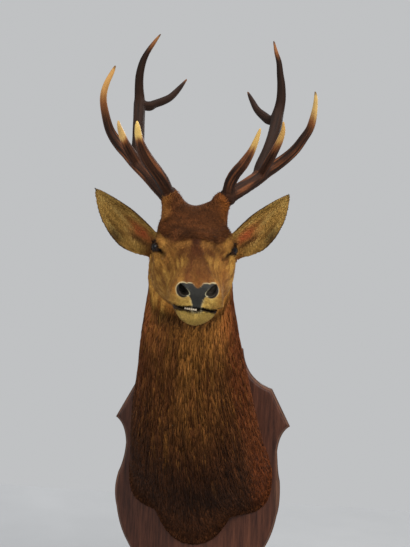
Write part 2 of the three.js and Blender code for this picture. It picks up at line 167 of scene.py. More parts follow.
def mesh_object(name, co, faces, smooth_shade=True, material=None):
    """A mesh piece from arrays; faces is an (m, 3) or (m, 4) array or a list of such. Millimetres in."""
    me = bpy.data.meshes.new(name)
    groups = faces if isinstance(faces, (list, tuple)) else [faces]
    groups = [np.asarray(g, np.int32) for g in groups if len(g)]
    loops = np.concatenate([g.ravel() for g in groups])
    totals = np.concatenate([np.full(len(g), g.shape[1], np.int32) for g in groups])
    starts = np.concatenate([[0], np.cumsum(totals)[:-1]]).astype(np.int32)
    me.vertices.add(len(co))
    me.vertices.foreach_set("co", (np.asarray(co, np.float32) * MM).ravel())
    me.loops.add(len(loops))
    me.loops.foreach_set("vertex_index", loops)
    me.polygons.add(len(totals))
    me.polygons.foreach_set("loop_start", starts)
    me.polygons.foreach_set("loop_total", totals)
    me.update(calc_edges=True)
    if smooth_shade:
        me.polygons.foreach_set("use_smooth", np.ones(len(totals), bool))
    o = bpy.data.objects.new(name, me)
    scene.collection.objects.link(o)
    if material:
        me.materials.append(material)
    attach(o, "root")
    return o


def add_tone(o, rgb, name="tone"):
    a = o.data.color_attributes.new(name, "FLOAT_COLOR", "POINT")
    c = np.ones((len(o.data.vertices), 4), np.float32)
    c[:, :3] = rgb
    a.data.foreach_set("color", c.ravel())


def add_value(o, v, name):
    a = o.data.attributes.new(name, "FLOAT", "POINT")
    a.data.foreach_set("value", np.asarray(v, np.float32))


def set_uv(o, uv_of_vertex, name="OFBake"):
    me = o.data
    layer = me.uv_layers.new(name=name)
    idx = np.empty(len(me.loops), np.int32)
    me.loops.foreach_get("vertex_index", idx)
    layer.data.foreach_set("uv", uv_of_vertex[idx].astype(np.float32).ravel())


def vertex_normals(co, faces):
    n = np.zeros_like(co)
    for g in faces:
        if not len(g):
            continue
        if g.shape[1] == 4:
            fn = np.cross(co[g[:, 2]] - co[g[:, 0]], co[g[:, 3]] - co[g[:, 1]])
        else:
            fn = np.cross(co[g[:, 1]] - co[g[:, 0]], co[g[:, 2]] - co[g[:, 0]])
        for k in range(g.shape[1]):
            for c in range(3):
                n[:, c] += np.bincount(g[:, k], fn[:, c], len(co))
    return unit(n)


# ============================================================ materials
def nodes_of(name):
    m = bpy.data.materials.new(name)
    m.use_nodes = True
    nt = m.node_tree
    return m, nt, nt.nodes["Principled BSDF"]


def N(nt, kind, **props):
    n = nt.nodes.new(kind)
    for k, v in props.items():
        setattr(n, k, v)
    return n


def mapped(nt, scale, rotation=(0, 0, 0)):
    tc = N(nt, "ShaderNodeTexCoord")
    mp = N(nt, "ShaderNodeMapping")
    mp.inputs["Scale"].default_value = scale
    mp.inputs["Rotation"].default_value = rotation
    nt.links.new(tc.outputs["Object"], mp.inputs["Vector"])
    return mp.outputs["Vector"]


def noise_node(nt, vec, scale, detail=4, rough=0.55, distortion=0.0):
    n = N(nt, "ShaderNodeTexNoise")
    n.inputs["Scale"].default_value = scale
    n.inputs["Detail"].default_value = detail
    n.inputs["Roughness"].default_value = rough
    n.inputs["Distortion"].default_value = distortion
    nt.links.new(vec, n.inputs["Vector"])
    return n.outputs["Fac"]


def ramp(nt, fac, stops):
    r = N(nt, "ShaderNodeValToRGB")
    while len(r.color_ramp.elements) < len(stops):
        r.color_ramp.elements.new(0.5)
    for e, (p, c) in zip(r.color_ramp.elements, stops):
        e.position = p
        e.color = (*c, 1) if len(c) == 3 else c
    nt.links.new(fac, r.inputs["Fac"])
    return r.outputs["Color"]


def maths(nt, op, a, b=None, clamp=False):
    n = N(nt, "ShaderNodeMath", operation=op, use_clamp=clamp)
    for s, v in zip(n.inputs, (a, b)):
        if v is None:
            continue
        if isinstance(v, (int, float)):
            s.default_value = v
        else:
            nt.links.new(v, s)
    return n.outputs[0]


def mixc(nt, fac, a, b, mode="MIX"):
    n = N(nt, "ShaderNodeMix", data_type="RGBA", blend_type=mode)
    for s, v in ((n.inputs[0], fac), (n.inputs[6], a), (n.inputs[7], b)):
        if isinstance(v, (int, float)):
            s.default_value = v
        elif isinstance(v, tuple):
            s.default_value = (*v, 1)
        else:
            nt.links.new(v, s)
    return n.outputs[2]


def bump(nt, height, strength, distance, normal=None):
    b = N(nt, "ShaderNodeBump")
    b.inputs["Strength"].default_value = strength
    b.inputs["Distance"].default_value = distance
    nt.links.new(height, b.inputs["Height"])
    if normal is not None:
        nt.links.new(normal, b.inputs["Normal"])
    return b.outputs["Normal"]


def attribute(nt, name, colour=True):
    a = N(nt, "ShaderNodeAttribute", attribute_name=name)
    return a.outputs["Color"] if colour else a.outputs["Fac"]


def coat_material():
    m, nt, p = nodes_of("coat_hair")
    tone = attribute(nt, "tone")
    v = noise_node(nt, mapped(nt, (1, 1, 1)), 900, 2)
    shade = maths(nt, "ADD", maths(nt, "MULTIPLY", v, 0.5), 0.75)
    rgb = N(nt, "ShaderNodeCombineColor")
    for i in range(3):
        nt.links.new(shade, rgb.inputs[i])
    nt.links.new(mixc(nt, 1.0, tone, rgb.outputs[0], "MULTIPLY"), p.inputs["Base Color"])
    p.inputs["Roughness"].default_value = 0.65
    p.inputs["Specular IOR Level"].default_value = 0.05
    return m


def skin_material():
    m, nt, p = nodes_of("hide")
    tone = attribute(nt, "tone")
    bare = attribute(nt, "bare", False)
    vec = mapped(nt, (1, 1, 1))
    fine = noise_node(nt, vec, 700, 5, 0.6)
    soft = noise_node(nt, vec, 60, 4, 0.6)
    shade = maths(nt, "ADD", maths(nt, "MULTIPLY", maths(nt, "ADD", fine, soft), 0.45), 0.55)
    rgb = N(nt, "ShaderNodeCombineColor")
    for i in range(3):
        nt.links.new(shade, rgb.inputs[i])
    nt.links.new(mixc(nt, 1.0, tone, rgb.outputs[0], "MULTIPLY"), p.inputs["Base Color"])
    vor = N(nt, "ShaderNodeTexVoronoi", feature="F1")
    vor.inputs["Scale"].default_value = 520
    nt.links.new(vec, vor.inputs["Vector"])
    pebble = maths(nt, "MULTIPLY", maths(nt, "SUBTRACT", 1.0, vor.outputs["Distance"]), bare)
    furry = maths(nt, "MULTIPLY", fine, maths(nt, "SUBTRACT", 1.0, bare))
    height = maths(nt, "ADD", maths(nt, "MULTIPLY", pebble, 0.8), furry)
    nt.links.new(bump(nt, height, 0.7, 0.0012), p.inputs["Normal"])
    nt.links.new(maths(nt, "SUBTRACT", 0.85, maths(nt, "MULTIPLY", bare, 0.42)), p.inputs["Roughness"])
    p.inputs["Specular IOR Level"].default_value = 0.08
    return m


def antler_material():
    m, nt, p = nodes_of("antler_horn")
    tone = attribute(nt, "tone")
    vec = mapped(nt, (1, 1, 1))
    fine = noise_node(nt, vec, 380, 5, 0.6)
    soft = noise_node(nt, vec, 45, 4, 0.6)
    shade = maths(nt, "ADD", maths(nt, "MULTIPLY", maths(nt, "ADD", fine, soft), 0.5), 0.5)
    rgb = N(nt, "ShaderNodeCombineColor")
    for i in range(3):
        nt.links.new(shade, rgb.inputs[i])
    nt.links.new(mixc(nt, 1.0, tone, rgb.outputs[0], "MULTIPLY"), p.inputs["Base Color"])
    nt.links.new(bump(nt, fine, 0.12, 0.0006), p.inputs["Normal"])
    nt.links.new(maths(nt, "SUBTRACT", 0.66, maths(nt, "MULTIPLY", attribute(nt, "polish", False), 0.3)), p.inputs["Roughness"])
    p.inputs["Specular IOR Level"].default_value = 0.12
    return m


def wood_material():
    m, nt, p = nodes_of("board_wood")
    stretched = mapped(nt, (1, 1, 0.075))
    grain = noise_node(nt, stretched, 95, 6, 0.62, 0.25)
    pores = noise_node(nt, mapped(nt, (1, 1, 0.035)), 520, 3, 0.6)
    broad = noise_node(nt, mapped(nt, (1, 1, 0.22)), 9, 3, 0.5, 0.4)
    a = ramp(nt, grain, [(0.28, tuple(srgb(44, 25, 18))), (0.5, tuple(srgb(72, 43, 31))), (0.72, tuple(srgb(92, 57, 41)))])
    dark = ramp(nt, pores, [(0.36, (0.35, 0.3, 0.28)), (0.5, (1, 1, 1))])
    c = mixc(nt, 0.75, a, dark, "MULTIPLY")
    tint = ramp(nt, broad, [(0.3, (0.72, 0.68, 0.68)), (0.7, (1.18, 1.06, 1.0))])
    c = mixc(nt, 1.0, c, tint, "MULTIPLY")
    # painted shade on the back of the board's edge by the wall, and the dark crack
    shade_and_crack = attribute(nt, "shade_and_crack", False)
    c = mixc(nt, shade_and_crack, c, tuple(srgb(34, 20, 16)))
    # painted highlight along the moulding and on the right edge
    edge_highlight = attribute(nt, "edge_highlight", False)
    c = mixc(nt, maths(nt, "MULTIPLY", edge_highlight, maths(nt, "ADD", broad, 0.25)), c, tuple(srgb(146, 112, 88)))
    nt.links.new(c, p.inputs["Base Color"])
    nt.links.new(bump(nt, maths(nt, "ADD", maths(nt, "MULTIPLY", pores, 0.6), maths(nt, "MULTIPLY", grain, 0.4)), 0.35, 0.0009), p.inputs["Normal"])
    nt.links.new(maths(nt, "ADD", maths(nt, "MULTIPLY", grain, 0.22), 0.36), p.inputs["Roughness"])
    p.inputs["Specular IOR Level"].default_value = 0.2
    return m


def eye_material():
    m, nt, p = nodes_of("glass_eye")
    rim = attribute(nt, "iris", False)
    vec = mapped(nt, (1, 1, 1))
    streak = noise_node(nt, vec, 620, 3, 0.6)
    iris = ramp(nt, streak, [(0.3, tuple(srgb(18, 10, 6))), (0.7, tuple(srgb(44, 24, 11)))])
    c = mixc(nt, maths(nt, "GREATER_THAN", rim, 0.5), iris, (0.0025, 0.0025, 0.003))
    nt.links.new(c, p.inputs["Base Color"])
    p.inputs["Roughness"].default_value = 0.06
    p.inputs["Specular IOR Level"].default_value = 0.16
    return m


def lid_material():
    m, nt, p = nodes_of("lid_margin")
    v = noise_node(nt, mapped(nt, (1, 1, 1)), 800, 3)
    nt.links.new(ramp(nt, v, [(0.3, tuple(srgb(16, 11, 9))), (0.75, tuple(srgb(44, 30, 22)))]), p.inputs["Base Color"])
    nt.links.new(bump(nt, v, 0.4, 0.0005), p.inputs["Normal"])
    p.inputs["Roughness"].default_value = 0.6
    p.inputs["Specular IOR Level"].default_value = 0.15
    return m


def teeth_material():
    m, nt, p = nodes_of("tooth_ivory")
    v = noise_node(nt, mapped(nt, (1, 1, 1)), 260, 4)
    nt.links.new(ramp(nt, v, [(0.3, tuple(srgb(226, 202, 166))), (0.7, tuple(srgb(254, 238, 212)))]), p.inputs["Base Color"])
    p.inputs["Roughness"].default_value = 0.3
    return m


def floor_material():
    m, nt, p = nodes_of("floor_pale")
    v = noise_node(nt, mapped(nt, (1, 1, 1)), 3, 3)
    base = ramp(nt, v, [(0.3, (0.43, 0.437, 0.445)), (0.7, (0.46, 0.467, 0.475))])
    # the floor pales gently towards the background
    sep = N(nt, "ShaderNodeSeparateXYZ")
    nt.links.new(N(nt, "ShaderNodeTexCoord").outputs["Object"], sep.inputs[0])
    parts = []
    for axis, vals in (("X", (-0.95, 0.1, 0.17, -0.04)), ("Y", (-0.3, 1.3, 0.0, 1.0))):
        r = N(nt, "ShaderNodeMapRange")
        r.interpolation_type = "SMOOTHSTEP"
        for k, val in zip(("From Min", "From Max", "To Min", "To Max"), vals):
            r.inputs[k].default_value = val
        nt.links.new(sep.outputs[axis], r.inputs["Value"])
        parts.append(r.outputs["Result"])
    gain = maths(nt, "ADD", maths(nt, "MULTIPLY", parts[0], parts[1]), 1.0)
    grey = N(nt, "ShaderNodeCombineColor")
    for k in range(3):
        nt.links.new(gain, grey.inputs[k])
    nt.links.new(mixc(nt, 1.0, base, grey.outputs[0], "MULTIPLY"), p.inputs["Base Color"])
    p.inputs["Roughness"].default_value = 0.85
    return m


COAT, HIDE, ANTLER, WOOD = coat_material(), skin_material(), antler_material(), wood_material()
EYE, LID, TOOTH, FLOOR = eye_material(), lid_material(), teeth_material(), floor_material()

floor_me = bpy.data.meshes.new("floor")
fz = CAD_BOX[0][2] - 0.12
floor_me.from_pydata([(-2.2, -2.6, fz), (2.2, -2.6, fz), (2.2, 1.4, fz), (-2.2, 1.4, fz)], [], [(0, 1, 2, 3)])
floor_me.materials.append(FLOOR)
floor = bpy.data.objects.new("floor", floor_me)
scene.collection.objects.link(floor)

# ============================================================ driving sizes, as in the CAD
HEAD_PITCH, HEAD_YAW = math.radians(13), math.radians(7.5)
SKULL_MID = np.array([1.0, -418.0, 570.0])
HEAD_LEAN = -6
cp, sp, cy, sy = math.cos(HEAD_PITCH), math.sin(HEAD_PITCH), math.cos(HEAD_YAW), math.sin(HEAD_YAW)
FWD = np.array([cp * sy, -cp * cy, -sp])
UP = np.array([sp * sy, -sp * cy, cp])
LAT = np.array([cy, sy, 0.0])
EYE_R = 17.0
SKIRT = dict(half=190, depth=130, top=285, lobe=85, lobeHalf=100, lobeX=-15)
NECK = [
    [-25.3, 285, -25.3, -215, 190, 2, 0.62, 0.50], [-46, 318, -120, -150, 180, -2, 0.62, 0.52],
    [-74, 358, -203, -66, 166, -8, 0.60, 0.56], [-103, 402, -268, 22, 151, -13, 0.56, 0.62],
    [-134, 450, -316, 110, 133, -16, 0.53, 0.68], [-166, 500, -350, 200, 120, -20, 0.5, 0.73],
    [-200, 552, -372, 290, 108, -20, 0.5, 0.73], [-236, 604, -384, 362, 101, -17, 0.5, 0.73]]
HEAD = [
    [-160, 48, 5, -153, 58, 0.11, 98, 0.50, 78], [-130, 70, 22, -148, 56, 0.03, 95, 0.50, 80],
    [-102, 78, 38, -141, 56, -0.05, 92, 0.48, 79], [-70, 77, 50, -135, 58, -0.03, 91, 0.43, 76],
    [-38, 66, 60, -131, 61, 0.06, 91, 0.38, 71], [-6, 52, 70, -128, 61, 0.11, 89, 0.36, 65],
    [24, 42, 82, -126, 52, 0.12, 80, 0.42, 60], [54, 33, 98, -124, 41, 0.11, 71, 0.46, 54],
    [86, 23, 118, -123, 35, 0.11, 62, 0.48, 50], [118, 12, 138, -126, 32, 0.11, 59, 0.50, 50],
    [150, 2, 158, -130, 31, 0.11, 58, 0.52, 51], [178, -7, 176, -132, 33, 0.11, 57, 0.50, 51],
    [200, -15, 192, -125, 35, 0.11, 54, 0.46, 46], [215, -24, 206, -110, 33, 0.12, 46, 0.42, 37],
    [225, -35, 217, -88, 25, 0.13, 34, 0.42, 25]]


def head_point(s, l, n):
    s, l, n = np.broadcast_arrays(*[np.asarray(x, float) for x in (s, l, n)])
    return SKULL_MID + s[..., None] * FWD + l[..., None] * LAT + n[..., None] * UP


def head_coords(p):
    d = p - SKULL_MID
    return d @ FWD, d @ LAT, d @ UP


STATIONS = []
for i, (ty, tz, by, bz, w, cx, at, full) in enumerate(NECK):
    yaw = HEAD_YAW * max(0, (i - 3) / 5) ** 1.5
    STATIONS.append([cx, ty, tz, cx, by, bz, yaw, full * w, 0.15, w, at, 0.78 * w, 0.84])
for i, (ts, tn, bs, bn, brow, brow_at, wide, at, jaw) in enumerate(HEAD):
    lean = HEAD_LEAN * max(0, 1 - i / 4)
    t, b = head_point(ts, lean, tn), head_point(bs, lean, bn)
    STATIONS.append([*t, *b, HEAD_YAW, brow, brow_at, wide, at, jaw, 0.83])
STATIONS = np.array(STATIONS)
T_END = len(STATIONS) - 1


def body_rings(ts, K):
    """Outer surface of the coat on neck and head: (len(ts), K, 3)."""
    c = spline(STATIONS, ts)
    top, bot = c[:, 0:3], c[:, 3:6]
    L = np.stack([np.cos(c[:, 6]), np.sin(c[:, 6]), np.zeros(len(c))], 1)
    at = lambda f, w: top * (1 - f)[:, None] + bot * f[:, None] + L * w[:, None]
    half = [(c[:, 8], c[:, 7]), (c[:, 10], c[:, 9]), (c[:, 12], c[:, 11])]
    keys = [top] + [at(f, w) for f, w in half] + [bot] + [at(f, -w) for f, w in half[::-1]]
    keys = np.stack(keys, 1)
    q = np.arange(K) / K * 8
    i = np.floor(q).astype(int)
    w = (q - i)[None, :, None]
    p0, p1, p2, p3 = (keys[:, (i + d) % 8] for d in (-1, 0, 1, 2))
    dt = lambda a, b: np.maximum(((a - b) ** 2).sum(-1, keepdims=True) ** 0.25, 1e-4)
    d0, d1, d2 = dt(p0, p1), dt(p1, p2), dt(p2, p3)
    t1 = ((p1 - p0) / d0 - (p2 - p0) / (d0 + d1) + (p2 - p1) / d1) * d1
    t2 = ((p2 - p1) / d1 - (p3 - p1) / (d1 + d2) + (p3 - p2) / d2) * d1
    ring = p1 + t1 * w + (-3 * p1 + 3 * p2 - 2 * t1 - t2) * w ** 2 + (2 * p1 - 2 * p2 + t1 + t2) * w ** 3
    # the hide flares out to its skirt on the board
    a = np.arange(K) / K * 2 * math.pi
    sn, cs = np.sin(a), np.cos(a)
    S = SKIRT
    zu = S["top"] * np.maximum(cs, 0) ** 1.1
    v = zu / S["top"]
    xu = 2 + np.sign(sn) * S["half"] * np.abs(sn) ** 0.9 * (1 - 0.42 * v ** 0.9 * (1 + 0.35 * np.sin(math.pi * v)))
    xl = np.sign(sn) * S["half"] * np.abs(sn) ** 0.8
    lobe = S["lobe"] * np.maximum(0, 1 - (np.abs(xl - S["lobeX"]) / S["lobeHalf"]) ** 2.5)
    zl = -S["depth"] * np.maximum(0, 1 - (np.abs(xl) / S["half"]) ** 4) ** 0.25 - lobe
    qx, qz = np.where(cs > 0, xu, xl + 2), np.where(cs > 0, zu, zl)
    f = (S["top"] - qz) / (S["top"] - NECK[0][3])
    for j, t in enumerate(np.atleast_1d(ts)):
        if t >= 2.5:
            continue
        wt = 1.0 if t <= 0 else 0.75 * (1 - t / 2.5) ** 1.6
        base = top[j] * (1 - f)[:, None] + bot[j] * f[:, None]
        if t <= 0:
            r = np.stack([qx, np.full(K, NECK[0][0]), qz], 1)
        else:
            k = c[j, 9] / S["half"]
            # between the board and the first section the flare eases in
            ease = smooth(0, 0.5, t)
            r = np.stack([qx * k, base[:, 1], base[:, 2]], 1)
            if t < 0.5:
                wt = 1.0 + (0.75 * (1 - 0.5 / 2.5) ** 1.6 - 1.0) * ease
                r[:, 2] = qz * (1 - ease) + r[:, 2] * ease
        ring[j] = ring[j] * (1 - wt) + r * wt
    return ring


def low_side_of(a):
    """1 on the cheeks and under the jaw, 0 along the nape."""
    return smooth(0.24, 0.31, np.minimum(a, 1 - a))


def jaw_line(t, a):
    """Stations past the line where the cheeks and jaw meet the neck."""
    return t - 7.08 - 0.4 * smooth(0.13, 0.03, np.abs(a - 0.5))


def coat_depth(p, t, a):
    """How far the skin lies below the coat's tips."""
    s, l, n = head_coords(p)
    low, jl = low_side_of(a), jaw_line(t, a)
    d = 12.0 - 8.5 * (smooth(6.6, 9.0, t) * (1 - low) + smooth(-0.35, 0.75, jl) * low)
    d = d + low * (2.5 * np.exp(-((jl + 0.32) / 0.25) ** 2) - 1.5 * np.exp(-((jl - 0.4) / 0.3) ** 2))
    d = d - 2.0 * smooth(9.0, 12.5, t)
    crown = smooth(28, 48, n) * smooth(60, 20, s) * smooth(7.6, 8.6, t)
    d = np.maximum(d, 5.5 * crown)
    d = d - 0.7 * smooth(17, 20, t)
    return np.where(t < 0.6, 7 + (12 - 7) * smooth(0, 0.6, t), d)


def grid_normals(g):
    du = np.roll(g, -1, 1) - np.roll(g, 1, 1)
    dv = np.empty_like(g)
    dv[1:-1] = g[2:] - g[:-2]
    dv[0], dv[-1] = g[1] - g[0], g[-1] - g[-2]
    n = unit(np.cross(du, dv))
    centre = g.mean(1, keepdims=True)
    flip = ((g - centre) * n).sum(-1).mean()
    return n if flip > 0 else -n


KB = 128
T_GRID = np.concatenate([np.arange(0, 1, 0.04), np.arange(1, T_END + 0.001, 0.06)])
OUTER = body_rings(T_GRID, KB)
NRM = grid_normals(OUTER)
tt = np.repeat(T_GRID[:, None], KB, 1)
aa = np.repeat((np.arange(KB) / KB)[None], len(T_GRID), 0)
DEPTH = coat_depth(OUTER.reshape(-1, 3), tt.ravel(), aa.ravel()).reshape(tt.shape)
SKIN = OUTER - NRM * DEPTH[..., None]
SKIN[..., 1] = np.minimum(SKIN[..., 1], NECK[0][0])
SKIN[0, :, 1] = NECK[0][0]
SKIN_N = grid_normals(SKIN)

# ============================================================ skin: one closed surface
H = 2.0                                       # fine spacing, mm


def axis(*pieces):
    """Grid lines from (end, spacing) pieces, spacing eased between them."""
    out = [pieces[0]]
    for end, h0, h1 in pieces[1:]:
        start = out[-1]
        n = max(1, int(round((end - start) / ((h0 + h1) / 2))))
        u = np.arange(1, n + 1) / n
        # spacing runs linearly from h0 to h1
        f = (h0 * u + (h1 - h0) * u * u / 2) / (h0 + (h1 - h0) / 2)
        out.extend(start + (end - start) * f)
    return np.array(out)


AX = axis(-250, (-105, 2.5, 2.5), (-50, 2.5, 1.7), (54, 1.7, 1.7), (105, 1.7, 2.5), (216, 2.5, 2.5))
AY = axis(-638, (-592, 1.5, 1.5), (-560, 1.5, 2.6), (-480, 2.6, 2.6), (-450, 2.6, 1.9), (-395, 1.9, 1.9), (-345, 2.0, 2.6), (-300, 2.8, 4), (-17, 5, 6.5))
AZ = axis(-226, (300, 7.5, 7.5), (390, 7.5, 2.8), (430, 2.8, 1.7), (535, 1.7, 1.7), (600, 2.0, 2.3), (712, 2.4, 2.7))


def to_index(p):
    return np.stack([np.interp(p[:, 0], AX, np.arange(len(AX))), np.interp(p[:, 1], AY, np.arange(len(AY))),
                     np.interp(p[:, 2], AZ, np.arange(len(AZ)))], 1)


def from_index(q):
    return np.stack([np.interp(q[:, 0], np.arange(len(AX)), AX), np.interp(q[:, 1], np.arange(len(AY)), AY),
                     np.interp(q[:, 2], np.arange(len(AZ)), AZ)], 1)


def loft_faces(rows, K, tips=True):
    """Quads of a ring grid, and the fans that close it; tip vertices follow the grid."""
    r, k = np.meshgrid(np.arange(rows - 1), np.arange(K), indexing="ij")
    a, b = r * K + k, r * K + (k + 1) % K
    quads = np.stack([a, b, b + K, a + K], -1).reshape(-1, 4)
    k = np.arange(K)
    m = rows * K
    t0 = np.stack([(k + 1) % K, k, np.full(K, m)], 1)
    t1 = np.stack([(rows - 1) * K + k, (rows - 1) * K + (k + 1) % K, np.full(K, m + 1)], 1)
    return quads, np.concatenate([t0, t1])


def outward(co, quads, tris):
    vol = 0.0
    for g in (quads, tris):
        a, b, c = co[g[:, 0]], co[g[:, 1]], co[g[:, 2]]
        vol += (a * np.cross(b, c)).sum()
        if g.shape[1] == 4:
            d = co[g[:, 3]]
            vol += (a * np.cross(c, d)).sum()
    if vol < 0:
        return quads[:, ::-1], tris[:, ::-1]
    return quads, tris


def level_set(co, quads, tris, half=6, shape=None, index=to_index):
    quads, tris = outward(co, quads, tris)
    q = index(co).astype(np.float32)
    g = vdb.FloatGrid.createLevelSetFromPolygons(q, triangles=np.ascontiguousarray(tris, np.uint32),
                                                 quads=np.ascontiguousarray(quads, np.uint32),
                                                 transform=vdb.createLinearTransform(1.0), halfWidth=half)
    out = np.empty(shape, np.float32)
    g.copyToArray(out, ijk=(0, 0, 0))
    return out


def smin(a, b, k):
    h = np.clip(0.5 + 0.5 * (b - a) / k, 0, 1)
    return b + (a - b) * h - k * h * (1 - h)


SHAPE = (len(AX), len(AY), len(AZ))
nose_tip = head_point(227.5, 0, -56)
body_co = np.vstack([SKIN.reshape(-1, 3), SKIN[0].mean(0)[None], nose_tip[None]])
bq, bt = loft_faces(len(T_GRID), KB)
field = level_set(body_co, bq, bt, 6, SHAPE)

# ears
EAR = dict(at=[-.16, 0, .11, .27, .42, .55, .7, .83, .94, 1], upper=[17, 24, 32, 34, 33, 30, 23, 15, 7, 1.2],
           lower=[17, 26, 38, 51, 53, 49, 40, 27, 12, 1.2], cup=[12, 17, 22, 24, 22, 19, 15, 9, 4, 1.0])
EARS = {
    "ear_right": dict(base=[-98, -345, 563], tip=[-239, -382, 698], face=[-0.28, -0.95, -0.12], bend=7, hang=1.06),
    "ear_left": dict(base=[81, -345, 565], tip=[206, -382, 700], face=[0.36, -0.93, -0.12], bend=7, hang=0.95)}
EAR_FRAME = {}


def ear_surface(E, steps=8, m=26, wall=6.0, rim=5.2, trim=1.0):
    base, tip = np.array(E["base"], float), np.array(E["tip"], float)
    axis_ = tip - base
    length = np.linalg.norm(axis_)
    axis_ = axis_ / length
    face = np.array(E["face"], float)
    face -= axis_ * (face @ axis_)
    face /= np.linalg.norm(face)
    up = np.cross(face, axis_)
    if up[2] < 0:
        up = -up
    rows = np.array([[u, a, b * E["hang"], c] for u, a, b, c in zip(EAR["at"], EAR["upper"], EAR["lower"], EAR["cup"])])
    r = spline(rows, np.arange((len(rows) - 1) * steps + 1) / steps)
    u, hu, hl, cup = r.T
    hu, hl = np.maximum(hu - trim, 0.8), np.maximum(hl - trim, 0.8)
    c = base + axis_ * (u * length * 0.988)[:, None] + face * (E["bend"] * u * u)[:, None]
    w = wall * np.minimum(1, 0.35 + cup / 14)
    v = 1 - 2 * np.arange(m + 1) / m
    V, CUP, WALL = v[None, :], cup[:, None], w[:, None]
    dip = CUP * (1 - V * V)
    side = np.where(V > 0, V * hu[:, None], V * hl[:, None])
    back = CUP * 0.5 - dip - (WALL + (rim / 2 - WALL) * V * V)
    front = CUP * 0.5 - dip + rim / 2 * V * V
    pb = c[:, None] + up * side[..., None] + face * back[..., None]
    pf = c[:, None] + up * (side * 0.99)[..., None] + face * front[..., None]
    fr = dict(base=base, axis=axis_, face=face, up=up, length=length, u=u, hu=hu, hl=hl, cup=cup, centre=c)
    return np.concatenate([pb, pf[:, ::-1]], 1), fr


for name, E in EARS.items():
    rings, fr = ear_surface(E)
    EAR_FRAME[name] = fr
    R, K = rings.shape[:2]
    co = np.vstack([rings.reshape(-1, 3), rings[0].mean(0)[None], rings[-1].mean(0)[None]])
    q, t = loft_faces(R, K)
    g = level_set(co, q, t, 6, SHAPE)
    x0 = 0 if name == "ear_right" else int(np.searchsorted(AX, 40))
    x1 = int(np.searchsorted(AX, -50)) if name == "ear_right" else len(AX)
    field[x0:x1] = smin(field[x0:x1], g[x0:x1], 3.0)
    del g

# the head's own detail, in its frame
ix = slice(int(np.searchsorted(AX, -132)), int(np.searchsorted(AX, 132)))
iy = slice(0, int(np.searchsorted(AY, -302)))
iz = slice(int(np.searchsorted(AZ, 392)), len(AZ))
X, Y, Z = np.meshgrid(AX[ix].astype(np.float32), AY[iy].astype(np.float32), AZ[iz].astype(np.float32), indexing="ij")
X -= np.float32(SKULL_MID[0]); Y -= np.float32(SKULL_MID[1]); Z -= np.float32(SKULL_MID[2])
Sg = X * FWD[0] + Y * FWD[1] + Z * FWD[2]
Lg = X * LAT[0] + Y * LAT[1]
Ng = X * UP[0] + Y * UP[1] + Z * UP[2]
F = field[ix, iy, iz] * np.float32(H)          # millimetres


def cone(a, b, ra, rb):
    """Distance to a round-ended cone between two world points, on the head block."""
    a, b = np.array(a, float) - SKULL_MID, np.array(b, float) - SKULL_MID
    d = b - a
    l2 = d @ d
    h = np.clip(((X - a[0]) * d[0] + (Y - a[1]) * d[1] + (Z - a[2]) * d[2]) / l2, 0, 1)
    r = ra + (rb - ra) * h
    return np.sqrt((X - a[0] - d[0] * h) ** 2 + (Y - a[1] - d[1] * h) ** 2 + (Z - a[2] - d[2] * h) ** 2) - r


for pa, pb, ra, rb in (([-58, -334, 640], [-67, -343, 676], 24, 19.5), ([46, -334, 642], [55, -343, 677], 22, 18)):
    F = smin(F, cone(pa, pb, ra, rb), 20)

EYE_AT = {"right": np.array([4.0, -80.5, -4.5]), "left": np.array([4.0, 76.5, -4.5])}
EYE_AXIS, EYE_ACROSS, EYE_UP = {}, {}, {}
for side, sg in (("right", -1), ("left", 1)):
    a = unit(np.array([0.60 if sg < 0 else 0.50, 0.76 * sg, 0.20]))
    across = np.array([0.80, -0.55 * sg, -0.46])           # towards the inner corner of the eye
    across = unit(across - a * (a @ across))
    up = np.cross(a, across)
    if up[2] < 0:
        up = -up
    EYE_AXIS[side], EYE_ACROSS[side], EYE_UP[side] = a, across, up
ALMOND = dict(inner=16.4, outer=15.0, top=11.0, low=9.2)


def almond(e1, e2):
    """Negative inside the eye's opening; about millimetres. The inner corner is drawn out."""
    half = np.where(e1 > 0, ALMOND["inner"], ALMOND["outer"])
    k = np.clip(1 - np.abs(e1 / half) ** 1.9, -0.6, 1)
    h = np.where(e2 > 0, ALMOND["top"] * (1 - 0.32 * np.clip(e1 / ALMOND["inner"], -0.4, 1)), ALMOND["low"]) * k
    return np.abs(e2) - h


